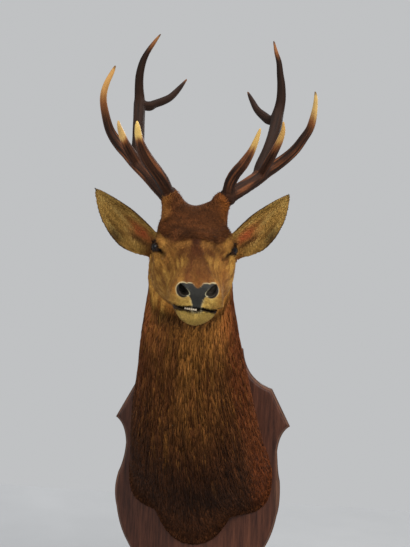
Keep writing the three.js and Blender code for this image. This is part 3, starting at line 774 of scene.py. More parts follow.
for side, side_sign in (("right", -1), ("left", 1)):
    c = EYE_AT[side]
    # the face falls away before the eye
    near = (np.abs(Sg - 50) < 52) & (Lg * side_sign > 30) & (np.abs(Ng + 8) < 44)
    hollow = (np.sqrt(((Sg[near] - 50) / 34) ** 2 + ((Lg[near] - side_sign * 91) / 21) ** 2 + ((Ng[near] + 7) / 23) ** 2) - 1) * 21
    F[near] = -smin(-F[near], hollow, 9)
    ds, dl, dn = Sg - c[0], Lg - c[1], Ng - c[2]
    a, e1v, e2v = EYE_AXIS[side], EYE_ACROSS[side], EYE_UP[side]
    ax = ds * a[0] + dl * a[1] + dn * a[2]
    e1 = ds * e1v[0] + dl * e1v[1] + dn * e1v[2]
    e2 = ds * e2v[0] + dl * e2v[1] + dn * e2v[2]
    r = np.sqrt(ds * ds + dl * dl + dn * dn)
    near = r < 60
    f = F[near]
    # brow above, sunken ring round the lids
    lid = r[near] - (EYE_R + 2.2)
    brow = np.sqrt(((ds[near] - 2) / 2.0) ** 2 + ((dl[near] + side_sign * 3) / 1.25) ** 2 + ((dn[near] - 15) / 0.9) ** 2) - 9.5
    under = np.sqrt(((ds[near] + 6) / 2.4) ** 2 + ((dl[near] + side_sign * 5) / 1.1) ** 2 + (dn[near] + 22) ** 2) - 9.0
    f = smin(f, brow, 10)
    f = smin(f, under, 12)
    f = smin(f, lid, 4.5)
    flare = 1 + 0.035 * np.maximum(ax[near] - 6, 0) * (e1[near] > 0)
    opening = np.maximum(almond(e1[near] / flare, e2[near] / (0.4 + 0.6 * flare)), -ax[near] + 2)
    f = np.maximum(f, -opening)
    f = np.maximum(f, -(r[near] - (EYE_R + 0.35)))
    F[near] = f

MID = 2.0                                     # the nose's own middle, mm to the stag's left
NOSTRIL = dict(s=223.0, l=28.8, n=-46.5, long=12.4, short=7.2, turn=math.radians(54))


def nostril_ellipse(l, n, side, grow=0.0):
    """Under 1 inside the nostril's outline, in the nose's front view."""
    dl, dn = (l - MID) * side - NOSTRIL["l"], n - NOSTRIL["n"]
    ct, st = math.cos(NOSTRIL["turn"]), math.sin(NOSTRIL["turn"])
    a = dl * ct + dn * st                      # long axis runs up and outwards
    b = -dl * st + dn * ct
    # comma: the tail at the outer end narrows and turns back
    b = b - 0.018 * a * a
    short = NOSTRIL["short"] * (1 - 0.25 * np.clip(a / NOSTRIL["long"], -1, 1))
    return np.sqrt((a / (NOSTRIL["long"] + grow)) ** 2 + (b / (short + grow)) ** 2)


for side in (-1, 1):
    near = (np.abs((Lg - MID) * side - NOSTRIL["l"]) < 30) & (np.abs(Ng - NOSTRIL["n"]) < 30) & (Sg > 185)
    l, n, s = Lg[near], Ng[near], Sg[near]
    e = nostril_ellipse(l - 0.22 * (s - 223) * side * -1, n, side)
    f = F[near]
    ring = (1 - e) * 8.5
    flare = np.exp(-((e - 1.22) / 0.26) ** 2) * smooth(200, 212, s)
    f = f - 1.9 * flare
    hole = np.maximum((e - 1) * 8.5 + 0.10 * np.maximum(218 - s, 0), 202 - s)
    F[near] = np.maximum(f, -hole)

# parting of the lips
MOUTH_TILT = 12 / 51


def lip_line(s, l):
    return -97.5 + (s - 164) * MOUTH_TILT - 0.04 * (l - MID) + 0.0032 * (l - MID) ** 2 - 1.0 * np.exp(-((l - MID) / 9) ** 2) - 4.0 * smooth(10, 40, np.abs(l - MID)) - 2.5 * smooth(14, 40, l - MID)


near = (Sg > 150) & (Ng < -70) & (Ng > -118)
s, l, n, f = Sg[near], Lg[near], Ng[near], F[near]
gap = 4.0 * smooth(158, 176, s) + 4.6 * np.exp(-((l - MID + 13) / 17) ** 2) * smooth(185, 202, s) + 1.8 * smooth(24, 40, np.abs(l - MID))
dn = n - lip_line(s, l)
f = f - 1.3 * np.exp(-((np.abs(dn) - 5.2) / 3.2) ** 2) * smooth(160, 185, s)       # rolled lips
slot = np.maximum(np.abs(dn) - gap / 2, np.maximum(-f - 11, 160 - s))
F[near] = np.maximum(f, -slot)
field[ix, iy, iz] = F / np.float32(H)
del X, Y, Z, Sg, Lg, Ng, F

out = vdb.FloatGrid(6.0)
out.copyFromArray(field, ijk=(0, 0, 0), tolerance=0)
pts, tri, quad = out.convertToPolygons(isovalue=0.0, adaptivity=0.0)
skin_co = from_index(np.asarray(pts, float))
skin_faces = [np.asarray(quad, np.int64), np.asarray(tri, np.int64)]
del field, out


def neighbours_mean(co, faces, rounds, lam=0.5, mask=None):
    e = np.concatenate([np.stack([g[:, k], g[:, (k + 1) % g.shape[1]]], 1) for g in faces if len(g) for k in range(g.shape[1])])
    deg = np.bincount(e[:, 0], minlength=len(co)) + np.bincount(e[:, 1], minlength=len(co))
    for r in range(rounds):
        acc = np.zeros_like(co)
        for c in range(3):
            acc[:, c] = np.bincount(e[:, 0], co[e[:, 1], c], len(co)) + np.bincount(e[:, 1], co[e[:, 0], c], len(co))
        acc /= np.maximum(deg, 1)[:, None]
        step = (lam if r % 2 == 0 else -lam * 1.04)
        d = (acc - co) * step
        co = co + (d if mask is None else d * mask[:, None])
    return co


skin_co = neighbours_mean(skin_co, skin_faces, 4)
skin_n = vertex_normals(skin_co, skin_faces)
if ((skin_co - skin_co.mean(0)) * skin_n).sum(1).mean() < 0:
    skin_faces = [g[:, ::-1] for g in skin_faces]
    skin_n = -skin_n

# where each skin vertex lies on neck and head: station t and turn a
kd = KDTree(SKIN[::2, ::2].size // 3)
sub = SKIN[::2, ::2].reshape(-1, 3)
sub_t = np.repeat(T_GRID[::2, None], KB // 2, 1).ravel()
sub_a = np.repeat((np.arange(0, KB, 2) / KB)[None], len(T_GRID[::2]), 0).ravel()
for i, p in enumerate(sub):
    kd.insert(p, i)
kd.balance()
near_i = np.array([kd.find(p)[1] for p in skin_co])
v_t, v_a = sub_t[near_i], sub_a[near_i]
flow_grid = np.zeros_like(SKIN)
flow_grid[:-1] = SKIN[:-1] - SKIN[1:]
flow_grid[-1] = flow_grid[-2]
flow_grid = unit(flow_grid)
v_flow = flow_grid[::2, ::2].reshape(-1, 3)[near_i]

def middle(s):
    return -2 + 4 * smooth(40, 200, s)


TEAR = {-1: (np.array([20.0, -79.0, -9.0]), np.array([54.0, -67.0, -13.0])), 1: (np.array([22.0, 74.0, -11.0]), np.array([72.0, 57.0, -16.0]))}


def tear_pit(s, l, n):
    """Distance to the pit that runs from each eye's inner corner."""
    out = None
    for a, b in TEAR.values():
        d = b - a
        h = np.clip(((s - a[0]) * d[0] + (l - a[1]) * d[1] + (n - a[2]) * d[2]) / (d @ d), 0, 1)
        r = np.sqrt((s - a[0] - d[0] * h) ** 2 + (l - a[1] - d[1] * h) ** 2 + (n - a[2] - d[2] * h) ** 2)
        out = r if out is None else np.minimum(out, r)
    return out


# gentle forms of the face, pushed in or out along the skin
s, l, n = head_coords(skin_co)
al = np.abs(l - middle(s))


# the forehead draws in between brow and burr
pinch = smooth(18, 40, n) * smooth(112, 98, n) * smooth(-140, -112, s) * smooth(40, 10, s)
skin_co = skin_co - LAT[None] * ((7.0 * smooth(25, 62, l) * smooth(92, 80, l) - 0.5 * smooth(-25, -62, l) * smooth(-92, -80, l)) * pinch)[:, None]
# the lower jaw is narrower than the lips over it
drop = lip_line(s, l) - n
jaw = smooth(-7, 6, drop) * smooth(70, 50, drop) * smooth(104, 170, s)
skin_co = skin_co - LAT[None] * ((l - middle(s)) * (0.2 + 0.1 * smooth(8, 26, drop)) * jaw)[:, None]
s, l, n = head_coords(skin_co)
al = np.abs(l - middle(s))


def blob(cs, cl, cn, r):
    return np.exp(-(((s - cs) ** 2 + (al - cl) ** 2 + (n - cn) ** 2) / r ** 2))


push = (-1.5 * blob(76, 58, -26, 17) + 5.0 * blob(64, 52, -98, 42) - 2.6 * blob(128, 50, -34, 26) + 1.8 * blob(40, 66, -52, 22)
        + 1.6 * blob(-12, 84, -70, 34) - 1.6 * blob(96, 34, 16, 14) + 1.2 * blob(196, 40, -66, 16)
        - 2.0 * blob(206, 12, -24, 9) - 1.4 * blob(182, 44, -98, 12))
# the tear pit before the eye
pit_d = tear_pit(s, l, n)
push += -4.2 * np.exp(-(pit_d / 3.4) ** 2) + 1.2 * np.exp(-((pit_d - 8) / 3.4) ** 2)
groove = np.exp(-((l - MID) / 1.6) ** 2) * smooth(-60, -66, n) * smooth(208, 214, s)
push += -1.3 * groove                                                     # philtrum
skin_co = skin_co + skin_n * push[:, None]
skin_n = vertex_normals(skin_co, skin_faces)

# ============================================================ markings and painted shade, shared by skin and coat
C_TAN, C_PALE, C_YELLOW = srgb(156, 110, 50), srgb(188, 144, 70), srgb(188, 156, 82)
C_PATCH, C_BRIDGE, C_ORANGE = srgb(82, 48, 25), srgb(104, 62, 31), srgb(146, 86, 38)
C_PAD, C_INSIDE, C_RIM = srgb(43, 42, 39), srgb(44, 39, 33), srgb(200, 190, 150)
C_NECK, C_GOLD, C_DARK, C_RED = srgb(86, 50, 25), srgb(136, 90, 40), srgb(66, 38, 21), srgb(118, 60, 29)
C_EAR_IN, C_EAR_PINK, C_EAR_BACK, C_EAR_EDGE = srgb(158, 122, 62), srgb(178, 82, 50), srgb(106, 70, 38), srgb(42, 27, 18)


def mixm(a, b, m):
    return a + (b - a) * np.clip(m, 0, 1)[:, None]


def pad_distance(l, n):
    """About millimetres outside the bare pad with its nostrils, in the nose's front view."""
    lm = np.abs(l - MID)
    w = np.interp(n, [-92, -88, -82, -75, -66, -59, -54, -48, -40, -32, -26], [7, 8.5, 8.5, 9.5, 12, 15, 20, 26, 30, 27, 20])
    top = -40.5 + 8.5 * smooth(1, 13, lm) - 9 * smooth(18, 38, lm)
    d = np.maximum(np.maximum(lm - w, n - top), -92 - n)
    return np.minimum(d, np.hypot(lm - 29.0, (n + 46.8) * 0.94) - 13.6)


def pad_mask(s, l, n):
    """Bare black pad of the nose."""
    return smooth(0.8, -0.6, pad_distance(l, n)) * smooth(200, 206, s) * smooth(-0.5, 1.5, n - lip_line(s, l))


def ear_coords(p, name):
    fr = EAR_FRAME[name]
    d = p - fr["base"]
    u = (d @ fr["axis"]) / (fr["length"] * 0.988)
    e2 = d @ fr["up"]
    ef = d @ fr["face"]
    hu, hl, cup = (np.interp(u, fr["u"], fr[k]) for k in ("hu", "hl", "cup"))
    v = np.where(e2 > 0, e2 / hu, e2 / hl)
    E = EARS[name]
    centre = cup * 0.5 - cup * (1 - np.clip(v, -1, 1) ** 2) + E["bend"] * u * u
    return u, v, ef - centre          # last: over 0 in front of the ear's middle surface


def markings_and_shade(p, t, a, ear=None):
    """Linear RGB of hide and hair at points p in mm."""
    s, l, n = head_coords(p)
    lm = l - middle(s)
    al = np.abs(lm)
    wob = 7 * fractal(p / 16.0, 3, 3)
    big = fractal(p / 45.0, 2, 9)
    x, y, z = p.T
    # ---- neck
    turn = (a - 0.5) * 2 * math.pi                                   # 0 at the throat
    # streaks follow the lie of the hair
    stream = np.stack([np.sin(turn) * 26, np.cos(turn) * 26, t * 1.3], 1)
    comb = fractal(np.stack([np.sin(turn) * 17, np.cos(turn) * 17, t * 1.5], 1), 3, 57)
    st1 = fractal(stream, 2, 21)
    st2 = fractal(stream * np.array([0.45, 0.45, 0.6]), 2, 31)
    col = np.repeat(C_NECK[None], len(p), 0)
    front = np.exp(-((x - 14) / 62) ** 2) * smooth(3.0, 5.2, t) * smooth(0.27, 0.36, a) * smooth(0.73, 0.64, a)
    col = mixm(col, C_GOLD, (0.38 + 0.75 * st1 + 0.3 * smooth(5.5, 7.2, t)) * front)
    red = smooth(0.38, 0.31, a) * smooth(0.12, 0.2, a)               # the stag's left side
    col = mixm(col, C_RED, red * (0.55 + 0.45 * st1))
    col = mixm(col, C_RED, smooth(0.6, 0.7, a) * smooth(0.88, 0.78, a) * 0.35 * smooth(2.5, 5.5, t))
    base = smooth(5.2, 2.6, t)
    col = mixm(col, C_DARK * 0.92, base * (0.9 + 0.35 * st2) * (1 - 0.65 * red))
    dark_band = np.exp(-((z + 40 + 0.12 * x) / 34) ** 2) * np.exp(-((x - 30) / 80) ** 2) * smooth(0.3, 0.38, a)
    col = mixm(col, srgb(38, 24, 16), 0.7 * dark_band * smooth(4, 2.5, t))
    # painted light: the lower neck's right side (x 70 to 130) is painted lighter, as lit from the right; the colour is
    # also lighter near the board and below z -75, and a little darker down the front's middle
    col = col * (1 + 0.5 * smooth(1.4, 0.0, t) + 0.34 * smooth(70, 130, x) * smooth(1.0, 2.0, t) * smooth(4.5, 3.0, t) + 0.36 * smooth(-75, -112, z)
                 - 0.16 * np.exp(-((x - 14) / 45) ** 2) * smooth(105, 70, z) * smooth(-20, 20, z))[:, None]
    col = mixm(col, C_RED, smooth(120, 165, x) * smooth(150, 40, z) * smooth(-130, -60, z) * 0.45 * smooth(3.2, 2.2, t))
    nape = smooth(0.16, 0.05, np.minimum(a, 1 - a))
    col = mixm(col, srgb(92, 56, 32), nape * 0.7)
    col = mixm(col, srgb(46, 28, 20), smooth(0.25, 0.6, st1) * 0.5)
    col = mixm(col, C_GOLD, smooth(0.35, 0.7, st2) * 0.35 * smooth(1.5, 4, t))
    jl = jaw_line(t, a)
    low = low_side_of(a)
    col = mixm(col, C_GOLD, smooth(5.6, 6.9, t) * low * np.clip(0.3 + 0.9 * st1, 0, 1) * 0.6)
    # the upper neck's sides are lighter; the throat's middle under the chin is a little darker, painted shade under the
    # chin
    mid_ = smooth(0.12, 0.06, np.abs(a - 0.485))
    col = col * (1 + (0.78 - 0.78 * mid_) * smooth(-0.85, -0.5, jl) * low - 0.12 * mid_ * smooth(5.4, 6.2, t))[:, None]
    # ---- head
    hd = mixm(np.repeat(C_TAN[None], len(p), 0), C_PALE, smooth(-0.2, 0.5, big + 0.9 * comb) * smooth(10, -20, n) * 0.8)
    hd = mixm(hd, srgb(102, 62, 28), smooth(-8, 8, n) * smooth(170, 120, s) * 0.85)
    hd = mixm(hd, srgb(112, 68, 30), smooth(-0.05, 0.45, -comb) * 0.7)
    # painted shade: the jaw's underside is darker
    hd = mixm(hd, srgb(124, 78, 34), smooth(-98, -122, n) * 0.85 * smooth(206, 170, s) * smooth(66, 40, al))      # under the jaw
    hd = mixm(hd, srgb(120, 78, 36), smooth(120, 40, s) * smooth(-70, -100, n) * 0.15)
    hd = mixm(hd, srgb(150, 96, 48), smooth(20, 60, lm) * smooth(40, 90, s) * 0.5)
    hd = mixm(hd, C_ORANGE, smooth(40, -40, s) * smooth(30, -30, n) * 0.12)
    # painted light: the downward-facing lower cheeks, most on the stag's left, and the stag's right cheek are painted
    # lighter against the shade they get
    hd = hd * (1 + 0.34 * smooth(2.4, 0.9, jl) * smooth(0.15, 0.5, jl) * low * (1 + 1.9 * smooth(15, 55, lm)) + 0.14 * smooth(-20, -60, lm) * smooth(60, 0, s) * smooth(0, -30, n))[:, None]
    hd = mixm(hd, srgb(118, 78, 40), smooth(0.5, 0.1, jl) * low * (0.35 + 0.4 * st1))
    # pale bands over the brows and round the eyes
    edge_s = np.interp(al, [0, 8, 14, 25, 40, 55, 64, 73, 82], [122, 78, 66, 58, 51, 40, 29, 6, -40])
    band = np.exp(-((s - edge_s - 13 + 0.5 * wob) / 9) ** 2) * smooth(-6, 4, n) * smooth(6, 14, al)
    band = band * (1 - 0.35 * smooth(20, 60, lm))
    hd = mixm(hd, srgb(150, 104, 50), band * (0.6 + 0.6 * comb))
    hd = hd * (1 - 0.22 * smooth(10, 40, lm) * smooth(40, 70, s) * smooth(120, 90, s) * smooth(-20, 0, n))[:, None]
    arch = np.exp(-((np.sqrt(((s - 104) / 1.15) ** 2 + (al - 33) ** 2) - 20) / 5) ** 2) * smooth(-12, 0, n) * smooth(126, 100, s)
    hd = mixm(hd, srgb(160, 110, 52), arch * 0.4)
    smudge = np.exp(-(((s - 102) / 15) ** 2 + ((al - 33) / 13) ** 2)) * smooth(-14, 0, n)
    hd = mixm(hd, srgb(88, 50, 22), smudge * (0.75 + 0.4 * comb))
    eye = np.sqrt((s - 8) ** 2 + (al - 82) ** 2 + (n + 2) ** 2)
    hd = mixm(hd, srgb(172, 126, 60), np.exp(-((eye - 28) / 9) ** 2) * smooth(-30, 2, n) * 0.5)
    # forehead patch, stripe and bridge
    patch = smooth(7, -7, s - edge_s + wob) * smooth(9, 22, n + 0.5 * wob) * smooth(-135, -105, s)
    curl = fractal(p / 7.0, 3, 63)
    hd = mixm(hd, C_PATCH * 1.12, patch)
    hd = hd * (1 + patch * 0.55 * fractal(p / 19.0, 2, 67))[:, None]
    hd = mixm(hd, srgb(104, 59, 31), patch * smooth(0.05, 0.5, curl) * 0.6)
    hd = mixm(hd, srgb(56, 34, 20), patch * smooth(0.05, 0.5, -curl) * 0.6)
    stripe = smooth(6, -5, al - 7 + 0.7 * wob) * smooth(60, 72, s) * smooth(130, 108, s) * smooth(0, 8, n)
    hd = mixm(hd, srgb(66, 35, 19), stripe * 0.9)
    tri_w = np.interp(s, [88, 105, 140, 175, 215, 226], [5, 11, 20, 27, 30, 30])
    bridge = smooth(9, -7, al - tri_w + 1.1 * wob) * smooth(84, 100, s) * smooth(-50, -34, n + 0.12 * (s - 150))
    hd = mixm(hd, C_BRIDGE, bridge * (0.85 + 0.5 * comb))
    hd = mixm(hd, srgb(76, 39, 19), bridge * smooth(170, 110, s) * 0.7)
    hd = hd * (1 - 0.3 * np.exp(-(((s - 66) / 16) ** 2 + ((lm - 44) / 20) ** 2)) * smooth(-10, 5, n))[:, None]
    orange = smooth(46, 62, al) * smooth(38, 60, n) * smooth(-20, -50, s) * smooth(-120, -90, s)
    hd = mixm(hd, C_ORANGE, orange * 0.75)
    hd = mixm(hd, srgb(168, 118, 62), orange * smooth(-34, -54, lm) * smooth(-0.4, 0.4, curl) * 0.75)
    # muzzle, lips, chin
    muz = smooth(150, 216, s + 0.3 * (-60 - n) + wob) * smooth(-50, -66, n + 0.5 * wob)
    hd = mixm(hd, C_YELLOW, muz * (0.7 + 0.5 * comb) * (1 - 0.3 * smooth(26, 44, al)))
    hd = mixm(hd, srgb(206, 172, 92), smooth(0, -5, n - lip_line(s, l)) * smooth(-122, -108, n) * smooth(165, 195, s) * 0.75)
    side_ = smooth(34, 48, al) * smooth(150, 180, s)
    hd = mixm(hd, srgb(150, 100, 46), side_ * 0.45)
    dn = n - lip_line(s, l)
    half = 2.0 + 2.3 * np.exp(-((l - MID + 13) / 17) ** 2) + 0.9 * smooth(24, 40, np.abs(l - MID))
    lips = smooth(half + 3.9, half + 2.3, -dn) * smooth(half + 2.4, half + 0.9, dn) * smooth(158, 172, s)
    hd = mixm(hd, srgb(26, 19, 16), lips * 0.97)
    # painted shade in the corners of the mouth
    corner = np.exp(-(((s - 176) / 18) ** 2 + ((dn + 5) / 7) ** 2)) * smooth(26, 38, al)
    hd = mixm(hd, srgb(62, 38, 24), corner * 0.75)
    # painted shade along the jaw's sides below the mouth line
    jaw_side_shade = smooth(30, 44, al) * smooth(-2, -8, dn) * smooth(80, 130, s)
    hd = mixm(hd, srgb(104, 66, 34), jaw_side_shade * 0.35)
    hd = hd * (1 + 0.26 * np.clip(curl, -0.6, 0.6) + 0.12 * np.clip(comb, -0.6, 0.6))[:, None]      # grizzled short hair
    # bare skin of the nose and its pale rims
    e = np.minimum(nostril_ellipse(l, n, -1), nostril_ellipse(l, n, 1))
    front_ = smooth(200, 206, s)
    pd_ = pad_distance(l, n)
    hd = mixm(hd, C_PAD, pad_mask(s, l, n))
    outer_rim = np.exp(-((pd_ - 0.8) / 0.65) ** 2) * smooth(-62, -56, n) * (0.3 + 0.6 * smooth(8, 18, np.abs(l - MID)))
    inner_rim = np.exp(-((e - 1.10) / 0.055) ** 2) * smooth(-38, -48, n) * smooth(-66, -60, n)
    hd = mixm(hd, C_RIM, np.maximum(outer_rim * 0.85, inner_rim * 0.7) * front_)
    low_rim = np.exp(-((pd_ - 1.2) / 1.4) ** 2) * smooth(-60, -66, n)
    hd = mixm(hd, C_RIM, low_rim * front_ * 0.35)
    e_in = np.minimum(nostril_ellipse(l - 0.22 * (s - 223), n, -1), nostril_ellipse(l + 0.22 * (s - 223), n, 1))
    lo_ = np.abs(l - MID)
    # painted shade of the nostril openings over the pad band at their outer side
    nostril_shade = smooth(-0.4, -1.6, np.hypot(lo_ - 29.0, (n + 46.8) * 0.94) - 13.6) * smooth(0.2, -1.5, (29.5 - lo_) + 0.72 * (n + 45.5))
    hd = mixm(hd, srgb(34, 27, 23), nostril_shade * front_ * 0.9)
    deep = smooth(206, 200, s) * smooth(37, 33, lo_)
    hd = mixm(hd, C_INSIDE, smooth(1.05, 0.97, e_in) * smooth(190, 197, s) * np.maximum(smooth(0.6, -0.6, pd_), deep))
    # dark lids and tear pit
    for side in ("right", "left"):
        c = EYE_AT[side]
        d = np.stack([s - c[0], l - c[1], n - c[2]], 1)
        r = np.linalg.norm(d, axis=1)
        al_ = almond(d @ EYE_ACROSS[side], d @ EYE_UP[side])
        al_ = al_ - 2.2 * smooth(2, 12, d @ EYE_ACROSS[side])               # wider before the inner corner
        near_lid = smooth(6.8, 2.4, al_ + 0.2 * wob) * smooth(34, 26, r) * smooth(0, 6, d @ EYE_AXIS[side])
        hd = mixm(hd, srgb(26, 17, 13), near_lid * 0.95)
    pd = tear_pit(s, l, n)
    hd = mixm(hd, srgb(84, 50, 26), np.exp(-(pd / 11) ** 2) * 0.46)
    hd = mixm(hd, srgb(26, 17, 12), np.exp(-(pd / 4.8) ** 2) * (0.95 - 0.5 * smooth(34, 60, s)))
    on_head = smooth(7.7, 9.3, t + 0.4 * big + 0.2 * comb) * (1 - low) + smooth(-0.05, 0.42, jl + 0.16 * comb + 0.1 * big) * low
    # neck hair comes up over the back of the head
    col = mixm(col, hd, on_head)
    # painted shadow under the jaw line, where the neck hair also starts darker
    jaw_shade_and_hair = smooth(-0.06, 0.1, jl + 0.06 * comb) * smooth(0.46, 0.28, jl + 0.06 * comb) * low
    col = mixm(col, srgb(48, 30, 18), jaw_shade_and_hair * (0.26 + 0.34 * smooth(0.38, 0.45, a)) * (1 - 0.5 * smooth(0.6, 0.64, a)))
    if ear is not None:
        for name in EARS:
            m = ear == (0 if name == "ear_right" else 1)
            if not m.any():
                continue
            u, v, f = ear_coords(p[m], name)
            w2 = fractal(p[m] / 9.0, 3, 5)
            st = fractal(np.stack([u * 5, v * 9, f * 0], 1), 2, 7)
            inside = mixm(np.repeat(C_EAR_IN[None], m.sum(), 0), srgb(112, 80, 38), smooth(-0.1, 0.45, st) * 0.7)
            inside = mixm(inside, srgb(206, 176, 104), smooth(0.1, 0.5, -st) * 0.4 * smooth(0.1, 0.3, u))
            inside = mixm(inside, C_EAR_PINK, np.exp(-(((u - 0.22) / 0.17) ** 2 + ((v - 0.05) / 0.42) ** 2)) * (0.8 + 0.5 * w2))
            inside = mixm(inside, srgb(60, 36, 24), np.exp(-(((u - 0.2) / 0.16) ** 2 + ((v + 0.42) / 0.13) ** 2)) * 0.8)
            inside = mixm(inside, srgb(48, 32, 22), np.exp(-(((u - 0.44) / 0.13) ** 2 + ((v + 0.86) / 0.2) ** 2)) * 0.85)
            inside = mixm(inside, srgb(80, 44, 30), smooth(0.14, 0.0, u) * 0.6)
            back = mixm(np.repeat(C_EAR_BACK[None], m.sum(), 0), C_TAN, smooth(-0.1, 0.5, w2) * 0.5)
            back = mixm(back, srgb(84, 52, 32), smooth(0.7, 1.0, u) * 0.6)
            # painted shade: the right ear's inside is painted darker than the left's
            if name == "ear_right":
                inside = inside * 0.86
            c = mixm(back, inside, smooth(-1.0, 0.6, f))
            edge = smooth(0.91, 0.985, np.abs(v)) * smooth(0.12, 0.3, u) + smooth(0.955, 0.985, u)
            c = mixm(c, C_EAR_EDGE, np.clip(edge, 0, 1) * 0.9)
            col[m] = mixm(c, col[m], smooth(0.1, -0.05, u))
    return np.clip(col, 0.002, 1)


def which_ear(p):
    out = np.full(len(p), -1)
    for i, name in enumerate(("ear_right", "ear_left")):
        u, v, f = ear_coords(p, name)
        sx = -1 if i == 0 else 1
        s, l, n = head_coords(p)
        out[(u > -0.02) & (u < 1.08) & (np.abs(v) < 1.25) & (np.abs(f) < 13) & (l * sx > 84) & (s < -10)] = i
    return out


def bare_skin(p):
    s, l, n = head_coords(p)
    e = np.minimum(nostril_ellipse(l, n, -1), nostril_ellipse(l, n, 1))
    e_in = np.minimum(nostril_ellipse(l - 0.22 * (s - 223), n, -1), nostril_ellipse(l + 0.22 * (s - 223), n, 1))
    b = np.maximum(pad_mask(s, l, n), smooth(1.3, 1.1, np.minimum(e, e_in)) * smooth(196, 202, s))
    inside_mouth = np.exp(-((n - lip_line(s, l)) / 2.2) ** 2) * smooth(164, 172, s)
    return np.clip(np.maximum(b, inside_mouth), 0, 1)


def thinned(co, faces, keep):
    """The same surface with fewer triangles where it is flat."""
    tri = np.concatenate([g if g.shape[1] == 3 else np.concatenate([g[:, [0, 1, 2]], g[:, [0, 2, 3]]]) for g in faces if len(g)])
    me = bpy.data.meshes.new("thin")
    me.vertices.add(len(co))
    me.vertices.foreach_set("co", co.astype(np.float32).ravel())
    me.loops.add(tri.size)
    me.loops.foreach_set("vertex_index", tri.astype(np.int32).ravel())
    me.polygons.add(len(tri))
    me.polygons.foreach_set("loop_start", (np.arange(len(tri)) * 3).astype(np.int32))
    me.polygons.foreach_set("loop_total", np.full(len(tri), 3, np.int32))
    me.update(calc_edges=True)
    o = bpy.data.objects.new("thin", me)
    scene.collection.objects.link(o)
    mod = o.modifiers.new("thin", "DECIMATE")
    mod.ratio = keep / len(tri)
    done = bpy.data.meshes.new_from_object(o.evaluated_get(bpy.context.evaluated_depsgraph_get()))
    new_co = np.empty(len(done.vertices) * 3, np.float32)
    done.vertices.foreach_get("co", new_co)
    done.calc_loop_triangles()
    new_tri = np.empty(len(done.loop_triangles) * 3, np.int32)
    done.loop_triangles.foreach_get("vertices", new_tri)
    bpy.data.objects.remove(o)
    bpy.data.meshes.remove(me)
    bpy.data.meshes.remove(done)
    return new_co.reshape(-1, 3).astype(float), [new_tri.reshape(-1, 3).astype(np.int64)]


v_ear = which_ear(skin_co)
bare = bare_skin(skin_co)
thin_co, thin_faces = thinned(skin_co, skin_faces, 196000)
thin_i = np.array([kd.find(p)[1] for p in thin_co])
thin_t, thin_a = sub_t[thin_i], sub_a[thin_i]
tone = markings_and_shade(thin_co, thin_t, thin_a, which_ear(thin_co))
thin_bare = bare_skin(thin_co)
# painted shade: the skin under the coat is darkened (0.6 on the neck, 0.85 on the head); bare skin keeps its colour
deep = np.where((thin_t < 8.5) & (jaw_line(thin_t, thin_a) < 0.3), 0.6, 0.85)
skin = mesh_object("hide_skin", thin_co, thin_faces, material=HIDE)
add_tone(skin, tone * (deep + (1 - deep) * thin_bare)[:, None])
add_value(skin, thin_bare, "bare")
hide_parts("neck", "head", "lower_jaw", "ear_right", "ear_left")
print("skin", len(thin_co), "verts", sum(len(g) * (g.shape[1] - 2) for g in thin_faces), "tris")

# ============================================================ hair
TOTAL_TRIS = 0


def build_tufts(name, centres, sides, ups, widths, thick, cols, uvs, rng_twist=None):
    """centres: list of (n, 3) points from root to tip; the last is the tip. Each tuft is a closed three-sided blade."""
    global TOTAL_TRIS
    n = len(centres[0])
    rings = len(centres) - 1
    per = rings * 3 + 1
    co = np.empty((n, per, 3))
    col = np.empty((n, per, 3))
    uv = np.empty((n, per, 2))
    for r in range(rings):
        S_, U_ = sides[r], ups[r]
        w, th = widths[r][:, None], thick[r][:, None]
        co[:, r * 3] = centres[r] + S_ * w
        co[:, r * 3 + 1] = centres[r] - S_ * w
        co[:, r * 3 + 2] = centres[r] + U_ * th
        for k in range(3):
            col[:, r * 3 + k] = cols[r]
            uv[:, r * 3 + k] = uvs + np.array([(-0.0013, 0.0013, 0)[k], -0.0014 + 0.0028 * r / rings])
    co[:, -1] = centres[-1]
    col[:, -1] = cols[-1]
    uv[:, -1] = uvs + np.array([0, 0.0014])
    tri = [[0, 1, 2]]
    for r in range(rings - 1):
        b = r * 3
        for k in range(3):
            a0, a1 = b + k, b + (k + 1) % 3
            tri += [[a0, a1 + 3, a1], [a0, a0 + 3, a1 + 3]]
    b = (rings - 1) * 3
    for k in range(3):
        tri.append([b + k, per - 1, b + (k + 1) % 3])
    tri = np.array(tri)
    # which way round the blade's faces point
    q = co[0]
    vol = sum(np.dot(q[a_], np.cross(q[b_], q[c_])) for a_, b_, c_ in tri - 0)
    ref = q.mean(0)
    vol = sum(np.dot(q[a_] - ref, np.cross(q[b_] - ref, q[c_] - ref)) for a_, b_, c_ in tri)
    if vol < 0:
        tri = tri[:, ::-1]
    faces = (tri[None] + (np.arange(n) * per)[:, None, None]).reshape(-1, 3)
    o = mesh_object(name, co.reshape(-1, 3), faces, material=COAT)
    add_tone(o, np.clip(col.reshape(-1, 3), 0.001, 1))
    set_uv(o, uv.reshape(-1, 2))
    TOTAL_TRIS += len(faces)
    return o


# ---- long hair of neck and skirt, laid over the surface by station and turn
NT, NK = len(T_GRID), KB
N_ROWS = int(np.searchsorted(T_GRID, 8.9))
dA = np.linalg.norm(np.cross(SKIN[1:N_ROWS + 1] - SKIN[:N_ROWS], np.roll(SKIN, -1, 1)[:N_ROWS] - SKIN[:N_ROWS]), axis=-1)
step_len = np.linalg.norm(SKIN[1:] - SKIN[:-1], axis=-1)


